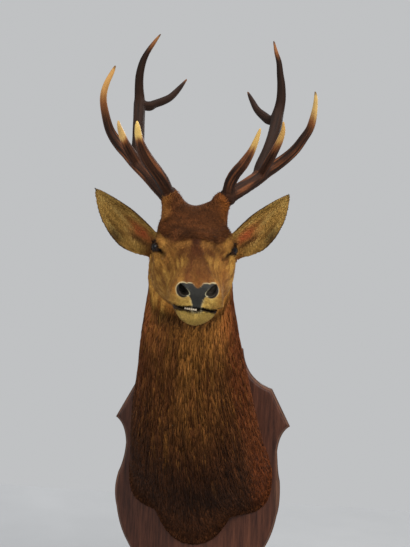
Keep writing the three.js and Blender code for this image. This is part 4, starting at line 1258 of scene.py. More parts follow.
def surf(grid, t, a):
    """Bilinear reading of a (station, turn) grid."""
    i = np.interp(t, T_GRID, np.arange(NT))
    i0 = np.clip(np.floor(i).astype(int), 0, NT - 2)
    fi = (i - i0)
    k = (a % 1) * NK
    k0 = np.floor(k).astype(int) % NK
    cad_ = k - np.floor(k)
    k1 = (k0 + 1) % NK
    if grid.ndim == 3:
        fi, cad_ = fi[:, None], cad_[:, None]
    return (grid[i0, k0] * (1 - fi) * (1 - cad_) + grid[i0 + 1, k0] * fi * (1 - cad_)
            + grid[i0, k1] * (1 - fi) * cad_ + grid[i0 + 1, k1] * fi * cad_)


# arc length down each line of hair, so that a tuft of a given length knows its next station
ARC = np.zeros((NT, NK))
ARC[1:] = np.cumsum(step_len, 0)
RIM_OUT = SKIN[0] - SKIN[0].mean(0)
RIM_OUT[:, 1] = 0
tang = np.roll(SKIN[0], -1, 0) - np.roll(SKIN[0], 1, 0)
rim_n = unit(np.stack([tang[:, 2], np.zeros(NK), -tang[:, 0]], 1))
rim_n *= np.sign((rim_n * RIM_OUT).sum(1))[:, None]


def along(t, a, back):
    """Station reached from t by going back mm down the coat at turn a, and how far past the hem."""
    k = (np.round((a % 1) * NK).astype(int)) % NK
    arc0 = surf(ARC, t, a)
    want = arc0 - back
    # monotone lookup per column
    t_new = np.empty_like(want)
    order = np.argsort(k, kind="stable")
    ks, starts = np.unique(k[order], return_index=True)
    bounds_ = np.append(starts, len(order))
    for j, kk in enumerate(ks):
        idx = order[bounds_[j]:bounds_[j + 1]]
        t_new[idx] = np.interp(want[idx], ARC[:, kk], T_GRID)
    return t_new, np.maximum(-want, 0)


def neck_hair(count, rng, name, length, half_width, lift, t_range, gap_under=0.0):
    prob = dA.copy()
    tm = T_GRID[:N_ROWS]
    prob *= ((tm >= t_range[0]) & (tm < t_range[1]))[:, None]
    ka = np.arange(NK) / NK
    prob *= (1 - 0.35 * smooth(0.22, 0.1, np.minimum(ka, 1 - ka)))[None]
    prob *= 1 - low_side_of(ka)[None] * smooth(-0.1, 0.25, jaw_line(tm[:, None], ka[None]))
    prob *= 1 - smooth(28, 10, ear_gap(SKIN[:N_ROWS])) * smooth(6.0, 6.7, tm)[:, None]
    flat = (prob / prob.sum()).ravel()
    pick = rng.choice(len(flat), count, p=flat)
    i, k = pick // NK, pick % NK
    t = T_GRID[i] + rng.random(count) * (T_GRID[i + 1] - T_GRID[i])
    a = (k + rng.random(count)) / NK
    turn = a * 2 * math.pi
    stream = np.stack([np.sin(turn) * 13, np.cos(turn) * 13, t * 1.6], 1)
    sway = fractal(stream, 2, 41)
    sway2 = noise3(stream * np.array([2.6, 2.6, 2.2]), 47)
    L = length(t, a) * rng.uniform(0.72, 1.25, count) * (0.3 + 0.7 * smooth(4, 34, ear_gap(surf(SKIN, t, a))))
    per_turn = np.interp(t, T_GRID, np.linalg.norm(np.roll(SKIN, -1, 1) - SKIN, axis=-1).sum(1))
    a_shift = (sway * 9.0 + sway2 * 4.0 + rng.normal(0, 2.2, count)) / per_turn
    us = (0.0, 0.45, 1.0)
    centres, sides, ups = [], [], []
    H_ = lift(t, a) * rng.uniform(0.55, 1.12, count)
    trim = rng.uniform(3.5, 6.5, count)
    for u in us:
        tu, past = along(t, a, L * u)
        past = np.minimum(past, trim * (0.4 + 0.6 * u))
        au = a + a_shift * u ** 1.3
        P = surf(SKIN, tu, au)
        Nn = unit(surf(SKIN_N, tu, au))
        kk = (np.round((au % 1) * NK).astype(int)) % NK
        P = P + rim_n[kk] * past[:, None]
        h = {0.0: -1.2 * np.ones(count), 0.45: H_ * 0.82, 1.0: H_ * rng.uniform(0.5, 1.05, count)}[u]
        edge = smooth(0, 14, past)
        Nn = unit(Nn * (1 - edge)[:, None] + np.array([0, -1.0, 0]) * edge[:, None])
        h = h * (1 - 0.55 * edge)
        Pc = P + Nn * h[:, None]
        Pc[:, 1] = np.minimum(Pc[:, 1], -27.2)
        Pc[:, 2] -= 2.0 * u * u
        centres.append(Pc)
        ups.append(Nn)
    d = unit(centres[1] - centres[0])
    for r in range(2):
        dd = unit(centres[r + 1] - centres[r])
        Sd = unit(np.cross(ups[r], dd))
        tw = rng.normal(0, 0.25, count)[:, None]
        sides.append(unit(Sd + ups[r] * tw))
        ups[r] = unit(np.cross(dd, sides[r]))
    w0 = half_width * rng.uniform(0.7, 1.3, count)
    # colour: markings at the root, dark root as painted shade deep in the coat, lighter tip as painted light on the
    # coat's surface, hairs of different depth
    base = markings_and_shade(centres[1], t, a % 1)
    fine_ = np.stack([np.sin(turn) * 46, np.cos(turn) * 46, t * 1.1], 1)
    var = np.exp(0.55 * fractal(fine_, 2, 131) + rng.normal(0, 0.13, count))[:, None]
    warm = rng.random(count)
    base = base * var
    base = mixm(base, C_GOLD * 1.1, (warm > 0.94) * 0.55 * smooth(2.0, 5.0, t))
    base = mixm(base, srgb(30, 18, 11), (warm < 0.12) * 0.6)
    root_shade = (0.5 + 0.3 * smooth(-0.3, 0.1, jaw_line(t, a % 1)) * low_side_of(a % 1))[:, None]
    cols = [base * root_shade, base * 0.98, base * 1.16]
    uv = np.stack([0.03 + 0.94 * (a % 1), 0.02 + 0.62 * t / 9.0], 1)
    build_tufts(name, centres, sides, ups[:2], [w0 * 0.75, w0, None], [w0 * 0.5, w0 * 0.62], cols, uv)


def neck_len(t, a):
    m = np.minimum(a % 1, 1 - a % 1)
    L = 50 + 16 * smooth(0.2, 0.4, m)
    L = L * (1 - 0.5 * smooth(6.4, 8.4, t)) * (1 - 0.5 * smooth(7.6, 8.5, t))
    L = L * (1 - 0.45 * smooth(-0.6, 0.4, jaw_line(t, a % 1)) * low_side_of(a % 1))
    L = L * (1 - 0.4 * smooth(1.0, 0.0, t))
    return L


def neck_lift(t, a):
    low = low_side_of(a % 1)
    return 10.5 - 6.5 * (smooth(6.6, 8.9, t) * (1 - low) + smooth(-0.6, 0.4, jaw_line(t, a % 1)) * low)


def ear_gap(p):
    """Distance to the roots of the ears."""
    d = 99.0
    for fr in EAR_FRAME.values():
        root = fr["base"] + fr["axis"] * 26
        d = np.minimum(d, np.linalg.norm(p - root, axis=-1) - 26)
    return d


n_neck = 99000
parts = 5
bands = [(0.0, 1.25), (1.25, 3.0), (3.0, 5.0), (5.0, 7.0), (7.0, 8.9)]
areas = []
for b0, b1 in bands:
    sel = (T_GRID[:N_ROWS] >= b0) & (T_GRID[:N_ROWS] < b1)
    areas.append(dA[sel].sum())
areas = np.array(areas)
print("neck band areas m2", (areas * 1e-6).round(3))
weights = areas * np.array([1.0, 1.0, 1.0, 1.1, 1.5])
weights /= weights.sum()
counts = np.minimum((weights * n_neck).astype(int), 19900)
for j, ((b0, b1), c) in enumerate(zip(bands, counts)):
    neck_hair(int(c), np.random.default_rng(100 + j), f"neck_hair_{j + 1}", neck_len, 1.3, neck_lift, (b0, b1))
print("neck tufts", counts)

# ---- short hair of head and ears, from the skin's own faces
quad_f = skin_faces[0]
cen = skin_co[quad_f].mean(1)
fa = 0.5 * np.linalg.norm(np.cross(skin_co[quad_f[:, 2]] - skin_co[quad_f[:, 0]], skin_co[quad_f[:, 3]] - skin_co[quad_f[:, 1]]), axis=1)
f_t = v_t[quad_f[:, 0]]
f_ear = v_ear[quad_f[:, 0]]
f_bare = bare[quad_f].max(1)
fs, fl, fn = head_coords(cen)
lid_d = np.full(len(cen), 99.0)
for side in ("right", "left"):
    c = EYE_AT[side]
    d = np.stack([fs - c[0], fl - c[1], fn - c[2]], 1)
    r_ = np.linalg.norm(d, axis=1)
    a_ = almond(d @ EYE_ACROSS[side], d @ EYE_UP[side])
    open_ = (r_ < EYE_R + 2.0) | ((r_ < 30) & (a_ < 1.0) & (d @ EYE_AXIS[side] > 0))
    lid_d[open_] = 0
    lid_d = np.minimum(lid_d, np.where(d @ EYE_AXIS[side] > 0, np.maximum(a_, 0) + np.maximum(r_ - 24, 0) * 0.7, 99))
crown_w = smooth(20, 40, fn + 0.12 * fs) * smooth(64, 40, fs) * smooth(8.0, 8.8, f_t) * (f_ear < 0)


def surface_hair(name, count, rng, density, length, half_width, lift, mess, slot, flow=None, cup=None, bright=1.0):
    p = density * fa
    pick = rng.choice(len(cen), count, p=p / p.sum())
    q = quad_f[pick]
    w = rng.random((count, 2))
    A, B, C_, D_ = (skin_co[q[:, j]] for j in range(4))
    P = (A * (1 - w[:, :1]) + B * w[:, :1]) * (1 - w[:, 1:]) + (D_ * (1 - w[:, :1]) + C_ * w[:, :1]) * w[:, 1:]
    Nn = unit(skin_n[q].mean(1))
    D = (v_flow[q[:, 0]] if flow is None else flow(P, Nn, pick))
    D = unit(D - Nn * (D * Nn).sum(1, keepdims=True))
    side = np.cross(Nn, D)
    turn_ = fractal(P / 14.0, 2, 61) * mess[0] + rng.normal(0, mess[1], count)
    D = unit(D * np.cos(turn_)[:, None] + side * np.sin(turn_)[:, None])
    side = np.cross(Nn, D)
    L = length(pick) * rng.uniform(0.7, 1.25, count)
    H_ = lift(pick) * rng.uniform(0.5, 1.2, count)
    c0 = P - Nn * 0.6
    c1 = P + D * (L * 0.5)[:, None] + Nn * (H_ * 0.75)[:, None]
    c2 = P + D * L[:, None] + Nn * H_[:, None] + side * (rng.normal(0, 0.08, count) * L)[:, None]
    w0 = half_width(pick) * rng.uniform(0.75, 1.25, count)
    base = markings_and_shade(P, v_t[q[:, 0]], v_a[q[:, 0]], v_ear[q[:, 0]]) * bright
    base = base * np.exp(rng.normal(0, 0.2, count))[:, None]
    ear = v_ear[q[:, 0]]
    uv = np.stack([0.03 + 0.94 * v_a[q[:, 0]], 0.65 + 0.33 * (v_t[q[:, 0]] - 8) / (T_END - 8)], 1)
    uv[:, 1] = np.where(v_t[q[:, 0]] < 8, 0.02 + 0.62 * v_t[q[:, 0]] / 9.0, uv[:, 1])
    for i, en in enumerate(EARS):
        m = ear == i
        if m.any():
            u, v, f = ear_coords(P[m], en)
            uv[m] = np.stack([0.03 + 0.44 * (v * 0.5 + 0.5) + 0.5 * (f > 0), 0.30 * i + 0.04 + 0.28 * np.clip(u, 0, 1)], 1)
    return P, Nn, D, side, c0, c1, c2, w0, base, uv


def emit(name, data, long=False):
    P, Nn, D, side, c0, c1, c2, w0, base, uv = data
    # dark roots and lighter tips: painted shade deep in the coat and painted light on its surface
    if long:
        build_tufts(name, [c0, c1, c2], [side, side], [Nn, Nn], [w0 * 0.8, w0, None], [w0 * 0.5, w0 * 0.6],
                    [base * 0.5, base * 0.95, base * 1.22], uv)
    else:
        build_tufts(name, [c0, c2], [side], [Nn], [w0, None], [w0 * 0.6], [base * 0.8, base * 1.15], uv)


nose_gap = np.where((fs > 198) & (fn > lip_line(fs, fl)), pad_distance(fl, fn), 99)
f_low = low_side_of(v_a[quad_f[:, 0]])
f_jaw = jaw_line(f_t, v_a[quad_f[:, 0]])
cen_gap = ear_gap(cen)
on_face = np.maximum(smooth(30, 15, cen_gap) * smooth(6.0, 6.7, f_t), smooth(8.0, 8.9, f_t) * (1 - f_low) + smooth(-0.2, 0.1, f_jaw) * f_low) * (f_ear < 0) * (f_bare < 0.25) * (lid_d > 1.6) * smooth(1.5, 5, nose_gap)
face_density = on_face * (1 - 0.9 * crown_w) * (1 + 1.2 * smooth(60, 160, fs))
back_w = smooth(12.0, 9.0, f_t) * (1 - f_low) + 0.5 * smooth(0.75, 0.1, f_jaw) * f_low


def face_len(i):
    L = 8.5 - 3.0 * smooth(90, 200, fs[i]) + 12 * back_w[i]
    L = L * (0.3 + 0.7 * smooth(8, 50, cen_gap[i]))
    return np.minimum(L, 2.4 + 1.5 * lid_d[i]) * (0.6 + 0.4 * smooth(4, 14, nose_gap[i]))


def face_lift(i):
    return 1.5 - 0.2 * smooth(120, 200, fs[i]) + 3.4 * back_w[i] * smooth(4, 40, cen_gap[i]) + 1.0 * smooth(60, 0, fs[i]) * smooth(-30, -60, fn[i])


def face_width(i):
    return 0.62 - 0.16 * smooth(90, 200, fs[i]) + 0.35 * back_w[i]


nf = 49500
emit("face_hair", surface_hair("face", nf, np.random.default_rng(7), face_density, face_len, face_width, face_lift, (0.25, 0.16), "face_coat"))


def crown_flow(P, Nn, i):
    """The tousled top of the head: hair stands out from a whorl on the forehead."""
    s, l, n = head_coords(P)
    out_ = (FWD * (-0.75) + UP * 0.25)[None] + LAT[None] * (l / 90)[:, None]
    down = smooth(28, 62, s)
    flat_ = smooth(0.4, 0.8, np.abs(Nn @ LAT))[:, None]
    out_ = out_ * (1 - flat_) + (FWD * (-0.8) - UP * 0.6)[None] * flat_
    return out_ * (1 - down)[:, None] + (FWD * 0.8)[None] * down[:, None]


crown_density = crown_w * (f_bare < 0.2)
f_n = unit(skin_n[quad_f].mean(1))
lateral = smooth(0.35, 0.8, np.abs(f_n @ LAT))
nc = 19500
emit("crown_hair", surface_hair("crown", nc, np.random.default_rng(8), crown_density,
     lambda i: 14.5 - 5 * smooth(20, 60, fs[i]) - 3.5 * lateral[i], lambda i: 0.6 + 0 * fs[i],
     lambda i: 3.6 - 1.0 * smooth(20, 60, fs[i]) - 2.2 * lateral[i], (1.2, 0.5), "coat", flow=crown_flow), long=True)


def ear_flow(P, Nn, i):
    out_ = np.zeros_like(P)
    for k, en in enumerate(EARS):
        fr = EAR_FRAME[en]
        m = f_ear[i] == k
        if not m.any():
            continue
        u, v, f = ear_coords(P[m], en)
        ff = (f > 0.3)[:, None]
        # inside the hair leans from the rims towards the middle and out to the tip
        lean = -np.sign(v)[:, None] * fr["up"][None] * 0.55 * ff
        out_[m] = fr["axis"][None] + lean
    return out_


ear_density = (f_ear >= 0) * 1.0
ear_f = np.zeros(len(cen))
ear_u = np.zeros(len(cen))
ear_v = np.zeros(len(cen))
for k, en in enumerate(EARS):
    m = f_ear == k
    ear_u[m], ear_v[m], ear_f[m] = ear_coords(cen[m], en)
ne = 18500
emit("ear_hair", surface_hair("ear", ne, np.random.default_rng(9), ear_density,
     lambda i: 2.0 + np.where(ear_f[i] > 0.3, 9.0, 6.0) * smooth(1.05, 0.8, ear_u[i]) * smooth(1.05, 0.7, np.abs(ear_v[i])), lambda i: 0.5 + 0 * fs[i],
     lambda i: np.where(ear_f[i] > 0.3, 1.8, 0.9) * smooth(1.1, 0.7, np.abs(ear_v[i])) + 0.2, (0.3, 0.15), "ear_coat", flow=ear_flow), long=True)
print("coat triangles", TOTAL_TRIS)

# ============================================================ eyes, lids, teeth
for side, cad in (("right", "eye_right"), ("left", "eye_left")):
    c = EYE_AT[side]
    a, e1, e2 = EYE_AXIS[side], EYE_ACROSS[side], EYE_UP[side]
    nu, nv = 56, 40
    th = np.linspace(0, math.pi, nv + 1)[1:-1]
    ph = np.linspace(0, 2 * math.pi, nu, endpoint=False)
    T_, P_ = np.meshgrid(th, ph, indexing="ij")
    d = (np.cos(T_)[..., None] * a + (np.sin(T_) * np.cos(P_))[..., None] * e1 + (np.sin(T_) * np.sin(P_))[..., None] * e2)
    d = np.vstack([d.reshape(-1, 3), a[None], -a[None]])
    rr = (EYE_R - 0.25) + 0.9 * np.exp(-((np.arccos(np.clip(d @ a, -1, 1))) / 0.5) ** 2)
    loc = c + d * rr[:, None]
    co = head_point(loc[:, 0], loc[:, 1], loc[:, 2])
    q, t = loft_faces(nv - 1, nu)
    # loft_faces closes ring 0 with the first extra vertex and the last ring with the second
    q, t = outward(co - co.mean(0), q, t)
    ball = mesh_object(f"glass_eye_{side}", co, [q, t], material=EYE)
    x1, x2 = (d @ e1) * EYE_R, (d @ e2) * EYE_R
    add_value(ball, (np.sqrt((x1 / 8.2) ** 2 + (x2 / 5.2) ** 2) < 1).astype(float) + 1.0 * ((d @ a) * EYE_R < 9.5), "iris")
    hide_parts(cad)
    # lid margin: a soft dark rim along the opening
    m = 96
    ang = np.linspace(0, 2 * math.pi, m, endpoint=False)
    x = np.where(np.cos(ang) > 0, ALMOND["inner"], ALMOND["outer"]) * np.cos(ang)
    half = np.where(x > 0, ALMOND["inner"], ALMOND["outer"])
    k = np.maximum(1 - np.abs(x / half) ** 1.9, 0)
    y = np.where(np.sin(ang) >= 0, ALMOND["top"] * (1 - 0.32 * np.clip(x / ALMOND["inner"], -0.4, 1)), -ALMOND["low"]) * k
    rad = EYE_R + 0.9
    r2 = np.sqrt(x * x + y * y)
    z = np.sqrt(np.maximum(rad ** 2 - np.minimum(r2, rad * 0.985) ** 2, 0))
    path = a[None] * z[:, None] + e1[None] * x[:, None] + e2[None] * y[:, None]
    out_ = unit(path)
    tang_ = unit(np.roll(path, -1, 0) - np.roll(path, 1, 0))
    sid = unit(np.cross(tang_, out_))
    rings = []
    for j in range(10):
        w = 2 * math.pi * j / 10
        rings.append(path + out_ * (0.55 * math.cos(w)) + sid * (0.75 * math.sin(w)))
    g = np.stack(rings, 1) + c
    g = head_point(g[..., 0], g[..., 1], g[..., 2])
    r_, k_ = np.meshgrid(np.arange(m), np.arange(10), indexing="ij")
    q = np.stack([r_ * 10 + k_, r_ * 10 + (k_ + 1) % 10, ((r_ + 1) % m) * 10 + (k_ + 1) % 10, ((r_ + 1) % m) * 10 + k_], -1).reshape(-1, 4)
    co = g.reshape(-1, 3)
    fn_ = np.cross(co[q[:, 2]] - co[q[:, 0]], co[q[:, 3]] - co[q[:, 1]])
    if ((co[q].mean(1) - g.mean(1)[q[:, 0] // 10]) * fn_).sum() < 0:
        q = q[:, ::-1]
    mesh_object(f"eyelid_{side}", co, q, material=LID)

    # lashes along the upper lid
    rl = np.random.default_rng(31 if side == "right" else 32)
    nl = 64
    pick_ = np.linspace(0.04, 0.47, nl) * m
    i0 = pick_.astype(int)
    root = path[i0] + out_[i0] * 0.5
    dirn = unit(out_[i0] + a[None] * 0.6 + np.array([0, 0, 0.25])[None] - e1[None] * 0.35 + rl.normal(0, 0.1, (nl, 3)))
    ln = rl.uniform(4.5, 8.0, nl)[:, None]
    bend_ = np.array([0, 0, 1.0])[None] * 0.18
    pts_l = [root, root + dirn * ln * 0.5, root + dirn * ln + bend_ * ln]
    conv = lambda v: head_point((v + c)[:, 0], (v + c)[:, 1], (v + c)[:, 2])
    pts_l = [conv(v) for v in pts_l]
    Dl = unit(pts_l[1] - pts_l[0])
    Sl = unit(np.cross(Dl, UP[None]))
    Ul = unit(np.cross(Sl, Dl))
    wl = np.full(nl, 0.28)
    cl = np.repeat(srgb(20, 14, 11)[None], nl, 0)
    uvl = np.stack([np.linspace(0.95, 0.985, nl), np.full(nl, 0.32 if side == "right" else 0.30)], 1)
    build_tufts(f"lashes_{side}", pts_l, [Sl, Sl], [Ul, Ul], [wl, wl * 0.8, None], [wl * 0.8, wl * 0.7], [cl, cl, cl], uvl)

# lower front teeth
tc, tf = [], []
base = 0
ss_, sl_, sn_ = head_coords(skin_co)
for j in range(2, 8):
    lx = (j - 3.5) * 4.3 + MID - 16
    at_lip = (np.abs(sl_ - lx) < 3.0) & (np.abs(sn_ - lip_line(ss_, sl_) + 8) < 3.5) & (ss_ > 180)
    s0 = np.percentile(ss_[at_lip], 90) - 6.2
    n0 = lip_line(s0, lx) - 5.2
    w, hgt, dep = 2.2, 6.0 + 0.3 * ((j * 7) % 3), 1.8
    R_, K_ = 7, 12
    for i in range(R_):
        f = i / (R_ - 1)
        sc = math.sqrt(max(0.02, 1 - (max(0, f - 0.45) / 0.56) ** 3))
        for k in range(K_):
            an = 2 * math.pi * k / K_
            cx_, sx_ = math.cos(an), math.sin(an)
            tc.append(head_point(s0 + dep * sc * np.sign(sx_) * abs(sx_) ** 0.7, lx + w * sc * np.sign(cx_) * abs(cx_) ** 0.7 * (0.9 + 0.1 * f), n0 + hgt * f))
    block = np.array(tc[base:])
    tc.append(block[:K_].mean(0)); tc.append(block[-K_:].mean(0))
    q, t = loft_faces(R_, K_)
    q, t = outward(np.array(tc[base:]) - np.array(tc[base:]).mean(0), q, t)
    tf.append((q + base, t + base))
    base = len(tc)
teeth = mesh_object("front_teeth", np.array(tc), [np.concatenate([q for q, _ in tf]), np.concatenate([t for _, t in tf])], material=TOOTH)

# ============================================================ antlers
ANTLERS = {
    "right": dict(
        stem=[[-62, -338, 660, 16], [-67, -343, 681, 19.5], [-74, -341, 687.5, 21.8], [-83, -339, 695, 19.4], [-96, -335, 706, 18.2],
              [-128, -322, 738, 17.3], [-159, -305, 766, 17], [-184, -292, 791, 16]],
        tray=[[-207, -290, 812, 14.2], [-224, -298, 835, 12], [-232, -312, 857, 10.5], [-237, -340, 893, 8.7],
              [-235, -358, 916, 7.8], [-226, -372, 939, 6.7], [-211, -385, 963, 4.8], [-203, -392, 976, 1.9]],
        bez=[[-156, -312, 764, 13.2], [-169, -335, 785, 12.6], [-178, -358, 803, 10.3], [-184, -385, 824, 7.5],
             [-186, -405, 837, 4.8], [-186, -416, 846, 2]],
        beam=[[-158, -303, 770, 13], [-163, -275, 802, 15.1], [-169, -243, 838, 14.5], [-177, -200, 883, 14.7], [-186, -150, 933, 14.8]],
        front=[[-188, -140, 955, 13.2], [-189, -148, 982, 11.3], [-187, -158, 1011, 10.2], [-179, -168, 1041, 8.7],
               [-166, -177, 1065, 6.7], [-148, -186, 1088, 4.7], [-133, -192, 1106, 2]],
        back=[[-183, -150, 936, 11.5], [-165, -130, 937, 12.2], [-152, -112, 947, 10.2], [-134, -92, 959, 10.2],
              [-116, -72, 975, 9.1], [-97, -50, 1003, 6.7], [-80, -37, 1030, 2.1]],
        brow=[[-76, -348, 694, 14], [-82, -372, 711, 15.6], [-93, -398, 730, 15.3], [-105, -422, 747, 14.6], [-115, -446, 763, 13.6],
              [-122, -470, 781, 11.0], [-125, -494, 800, 8.4], [-125, -512, 817, 5.8], [-125, -520, 827, 2.4]]),
    "left": dict(
        stem=[[50, -338, 661, 15], [56, -343, 682, 18.5], [62, -341, 688, 20.4], [72, -338, 696, 18.2], [83, -335, 703, 16.9],
              [106, -322, 720, 16.2], [131, -305, 741, 16], [149, -297, 757, 15.2]],
        tray=[[169, -292, 771, 14], [194, -297, 790, 13], [216, -305, 811, 12], [233, -318, 834, 10.7], [246, -332, 854, 9.5],
              [252, -350, 875, 8.2], [255, -368, 898, 5.9], [255, -382, 916, 4.2], [253, -391, 928, 1.9]],
        bez=[[139, -307, 750, 11.4], [153, -335, 772, 10.7], [166, -360, 793, 9.6], [178, -385, 815, 7.9], [185, -405, 835, 5.4],
             [185, -419, 853, 2]],
        beam=[[131, -305, 743, 13], [137, -283, 770, 15.3], [150, -255, 808, 15], [159, -222, 844, 14.7], [166, -180, 886, 15],
              [169, -150, 919, 14.7]],
        front=[[173, -142, 940, 13.4], [176, -145, 964, 12.1], [175, -152, 993, 10.5], [171, -160, 1021, 8.6], [167, -168, 1048, 7],
               [159, -176, 1071, 5], [152, -184, 1096, 2.2]],
        back=[[168, -152, 911, 11.5], [150, -135, 908, 12], [134, -118, 921, 11], [115, -98, 941, 8.8], [100, -72, 969, 6.8],
              [91, -52, 988, 4.5], [86, -41, 999, 2.1]],
        brow=[[64, -348, 690, 13], [69, -366, 716, 13.6], [81, -385, 738, 13.1], [100, -408, 759, 11.6], [117, -432, 783, 8.4],
              [127, -450, 804, 6.3], [134, -464, 822, 3.7], [136, -469, 828, 2]])}
HA = 1.8
# where the colour of each tine turns from dark to pale: (start, end) shares of its length, tip colour
# the front and back crown tines end in brown and dark tips: painted shade of the crown leaning back towards the wall
TIPS = {
    "right": dict(tray=(0.30, 0.95, srgb(196, 148, 84)), bez=(0.45, 0.72, srgb(206, 168, 104)), brow=(0.74, 0.90, srgb(216, 182, 104)),
                  front=(0.66, 1.05, srgb(136, 94, 54)), back=(0.85, 1.2, srgb(60, 42, 32))),
    "left": dict(tray=(0.52, 0.92, srgb(200, 166, 100)), bez=(0.42, 0.85, srgb(190, 148, 82)), brow=(0.58, 0.88, srgb(204, 166, 94)),
                 front=(0.68, 1.02, srgb(132, 86, 50)), back=(0.85, 1.2, srgb(60, 42, 32)))}


def tube_loft(rows, steps=12, sides=40):
    n = (len(rows) - 1) * steps
    t = np.arange(n + 1) / steps
    c = spline(rows, t)
    t0, t1 = spline(rows, np.maximum(t - 0.05, 0)), spline(rows, np.minimum(t + 0.05, len(rows) - 1))
    d = unit(t1[:, :3] - t0[:, :3])
    side = np.array([0.3, 1, 0.1])
    out = []
    frames = []
    for i in range(n + 1):
        side = unit(side - d[i] * (side @ d[i]))
        up = np.cross(d[i], side)
        an = 2 * math.pi * np.arange(sides) / sides
        out.append(c[i, :3] + c[i, 3] * (np.cos(an)[:, None] * side + np.sin(an)[:, None] * up))
        frames.append((c[i, :3], d[i], side.copy(), up, c[i, 3]))
    return np.array(out), frames


for side, A in ANTLERS.items():
    tines = {"main": A["stem"] + A["tray"], "upper": A["beam"] + A["front"], "bez": A["bez"], "back": A["back"], "brow": A["brow"]}
    allp = np.array([r[:3] for t in tines.values() for r in t])
    lo, hi = allp.min(0) - 32, allp.max(0) + 32
    shape = tuple(int(math.ceil(x)) for x in (hi - lo) / HA)
    index = lambda p, lo=lo: (p - lo) / HA
    fld = None
    samples = []
    for tid, (tn, rows) in enumerate(tines.items()):
        rings, frames = tube_loft(rows)
        co = np.vstack([rings.reshape(-1, 3), frames[0][0][None] - frames[0][1] * frames[0][4] * 0.6, frames[-1][0][None] + frames[-1][1] * frames[-1][4] * 0.9])
        q, t = loft_faces(len(rings), rings.shape[1])
        g = level_set(co, q, t, 5, shape, index)
        fld = g if fld is None else smin(fld, g, 3.2)
        arc = np.concatenate([[0], np.cumsum(np.linalg.norm(np.diff(np.array([f[0] for f in frames]), axis=0), axis=1))])
        for f, ar in zip(frames, arc):
            samples.append([*f[0], *f[1], *f[2], *f[3], f[4], ar, ar / arc[-1], tid])
    vg = vdb.FloatGrid(5.0)
    vg.copyFromArray(fld, ijk=(0, 0, 0), tolerance=0)
    pts, tri, quad = vg.convertToPolygons(isovalue=0.0, adaptivity=0.0)
    co = np.asarray(pts, float) * HA + lo
    faces = [np.asarray(quad, np.int64), np.asarray(tri, np.int64)]
    co = neighbours_mean(co, faces, 4)
    nn = vertex_normals(co, faces)
    S_ = np.array(samples)
    names = list(tines)
    per_tine = [np.nonzero(S_[:, 15] == i)[0] for i in range(len(names))]
    near_d, near_s = np.empty((len(co), len(names))), np.empty((len(co), len(names)), int)
    for c0 in range(0, len(co), 4000):
        d = np.sqrt(((co[c0:c0 + 4000, None] - S_[None, :, :3]) ** 2).sum(-1)) - 0.8 * S_[None, :, 12]
        for i, rows_ in enumerate(per_tine):
            j = np.argmin(d[:, rows_], 1)
            near_s[c0:c0 + 4000, i] = rows_[j]
            near_d[c0:c0 + 4000, i] = d[np.arange(len(d)), rows_[j]]
    rank = np.argsort(near_d, 1)
    pick1, pick2 = rank[:, 0], rank[:, 1]
    every = np.arange(len(co))
    best, second = near_s[every, pick1], near_s[every, pick2]
    own = 0.5 + 0.5 * smooth(0, 9, near_d[every, pick2] - near_d[every, pick1])
    R = S_[best][:, 12]
    thin_ = smooth(10, 6, R)
    co = neighbours_mean(co, faces, 10, mask=thin_)

    def on_tine(which):
        """Arc length and turn about the tine that each vertex is read on."""
        b = S_[which]
        rel = co - b[:, :3]
        return (b, b[:, 13] + (rel * b[:, 3:6]).sum(1),
                np.arctan2((rel * b[:, 9:12]).sum(1), (rel * b[:, 6:9]).sum(1)))

    b, arc, an = on_tine(best)
    tid = b[:, 15].astype(int)
    if ((co - b[:, :3]) * nn).sum(1).mean() < 0:
        faces = [g[:, ::-1] for g in faces]
        nn = -nn
    # furrows along the tines, pearls near the burr
    ridg, fine = 0, 0
    for which, w in ((best, own), (second, 1 - own)):
        bb, ar_, an_ = on_tine(which)
        ti = bb[:, 15]
        ridg = ridg + w * fractal(np.stack([np.cos(an_) * 2.3 + ti * 9, np.sin(an_) * 2.3, ar_ / 120.0], 1), 2, 71)
        fine = fine + w * noise3(np.stack([np.cos(an_) * 5.5 + ti * 9, np.sin(an_) * 5.5, ar_ / 60.0], 1), 77)
    pearls = fractal(co / 4.2, 2, 83)
    burr_c = np.array(A["stem"][2][:3])
    burr_d = unit(np.array(A["stem"][3][:3], float) - np.array(A["stem"][1][:3], float))
    along_ = (co - burr_c) @ burr_d
    burr = np.exp(-(along_ / 5.0) ** 2) * (np.linalg.norm(co - burr_c, axis=1) < 34)
    low = np.exp(-np.maximum(np.linalg.norm(co - burr_c, axis=1) - 26, 0) / 60.0)
    share = b[:, 14]
    tipness = np.zeros(len(co))
    polish = np.zeros(len(co))
    rgb = np.repeat(srgb(56, 33, 21)[None], len(co), 0)
    blotch = fractal(co / 38.0, 2, 95)
    ridge_col = smooth(0.05, 0.55, 0.6 * ridg + 0.6 * fine + 0.35 * blotch)
    lower = (tid != 1) & (tid != 3)
    # the reddish ridge colour and golden glints are kept to the sides facing front and up: the ridge colour is the
    # antler's own, its one-sided showing and the glints are painted light
    lit_side = smooth(-0.2, 0.6, nn @ np.array([0.1, -0.9, 0.35]))
    rgb = mixm(rgb, srgb(122, 72, 42), ridge_col * (0.1 + 0.64 * lower) * (0.3 + 0.7 * lit_side))
    rgb = mixm(rgb, srgb(146, 96, 56), smooth(0.5, 0.95, 0.8 * fine + 0.4 * ridg) * lower * lit_side * 0.3)
    rgb = mixm(rgb, srgb(22, 15, 11), smooth(0.0, -0.4, 0.6 * ridg + 0.8 * fine) * 0.8)
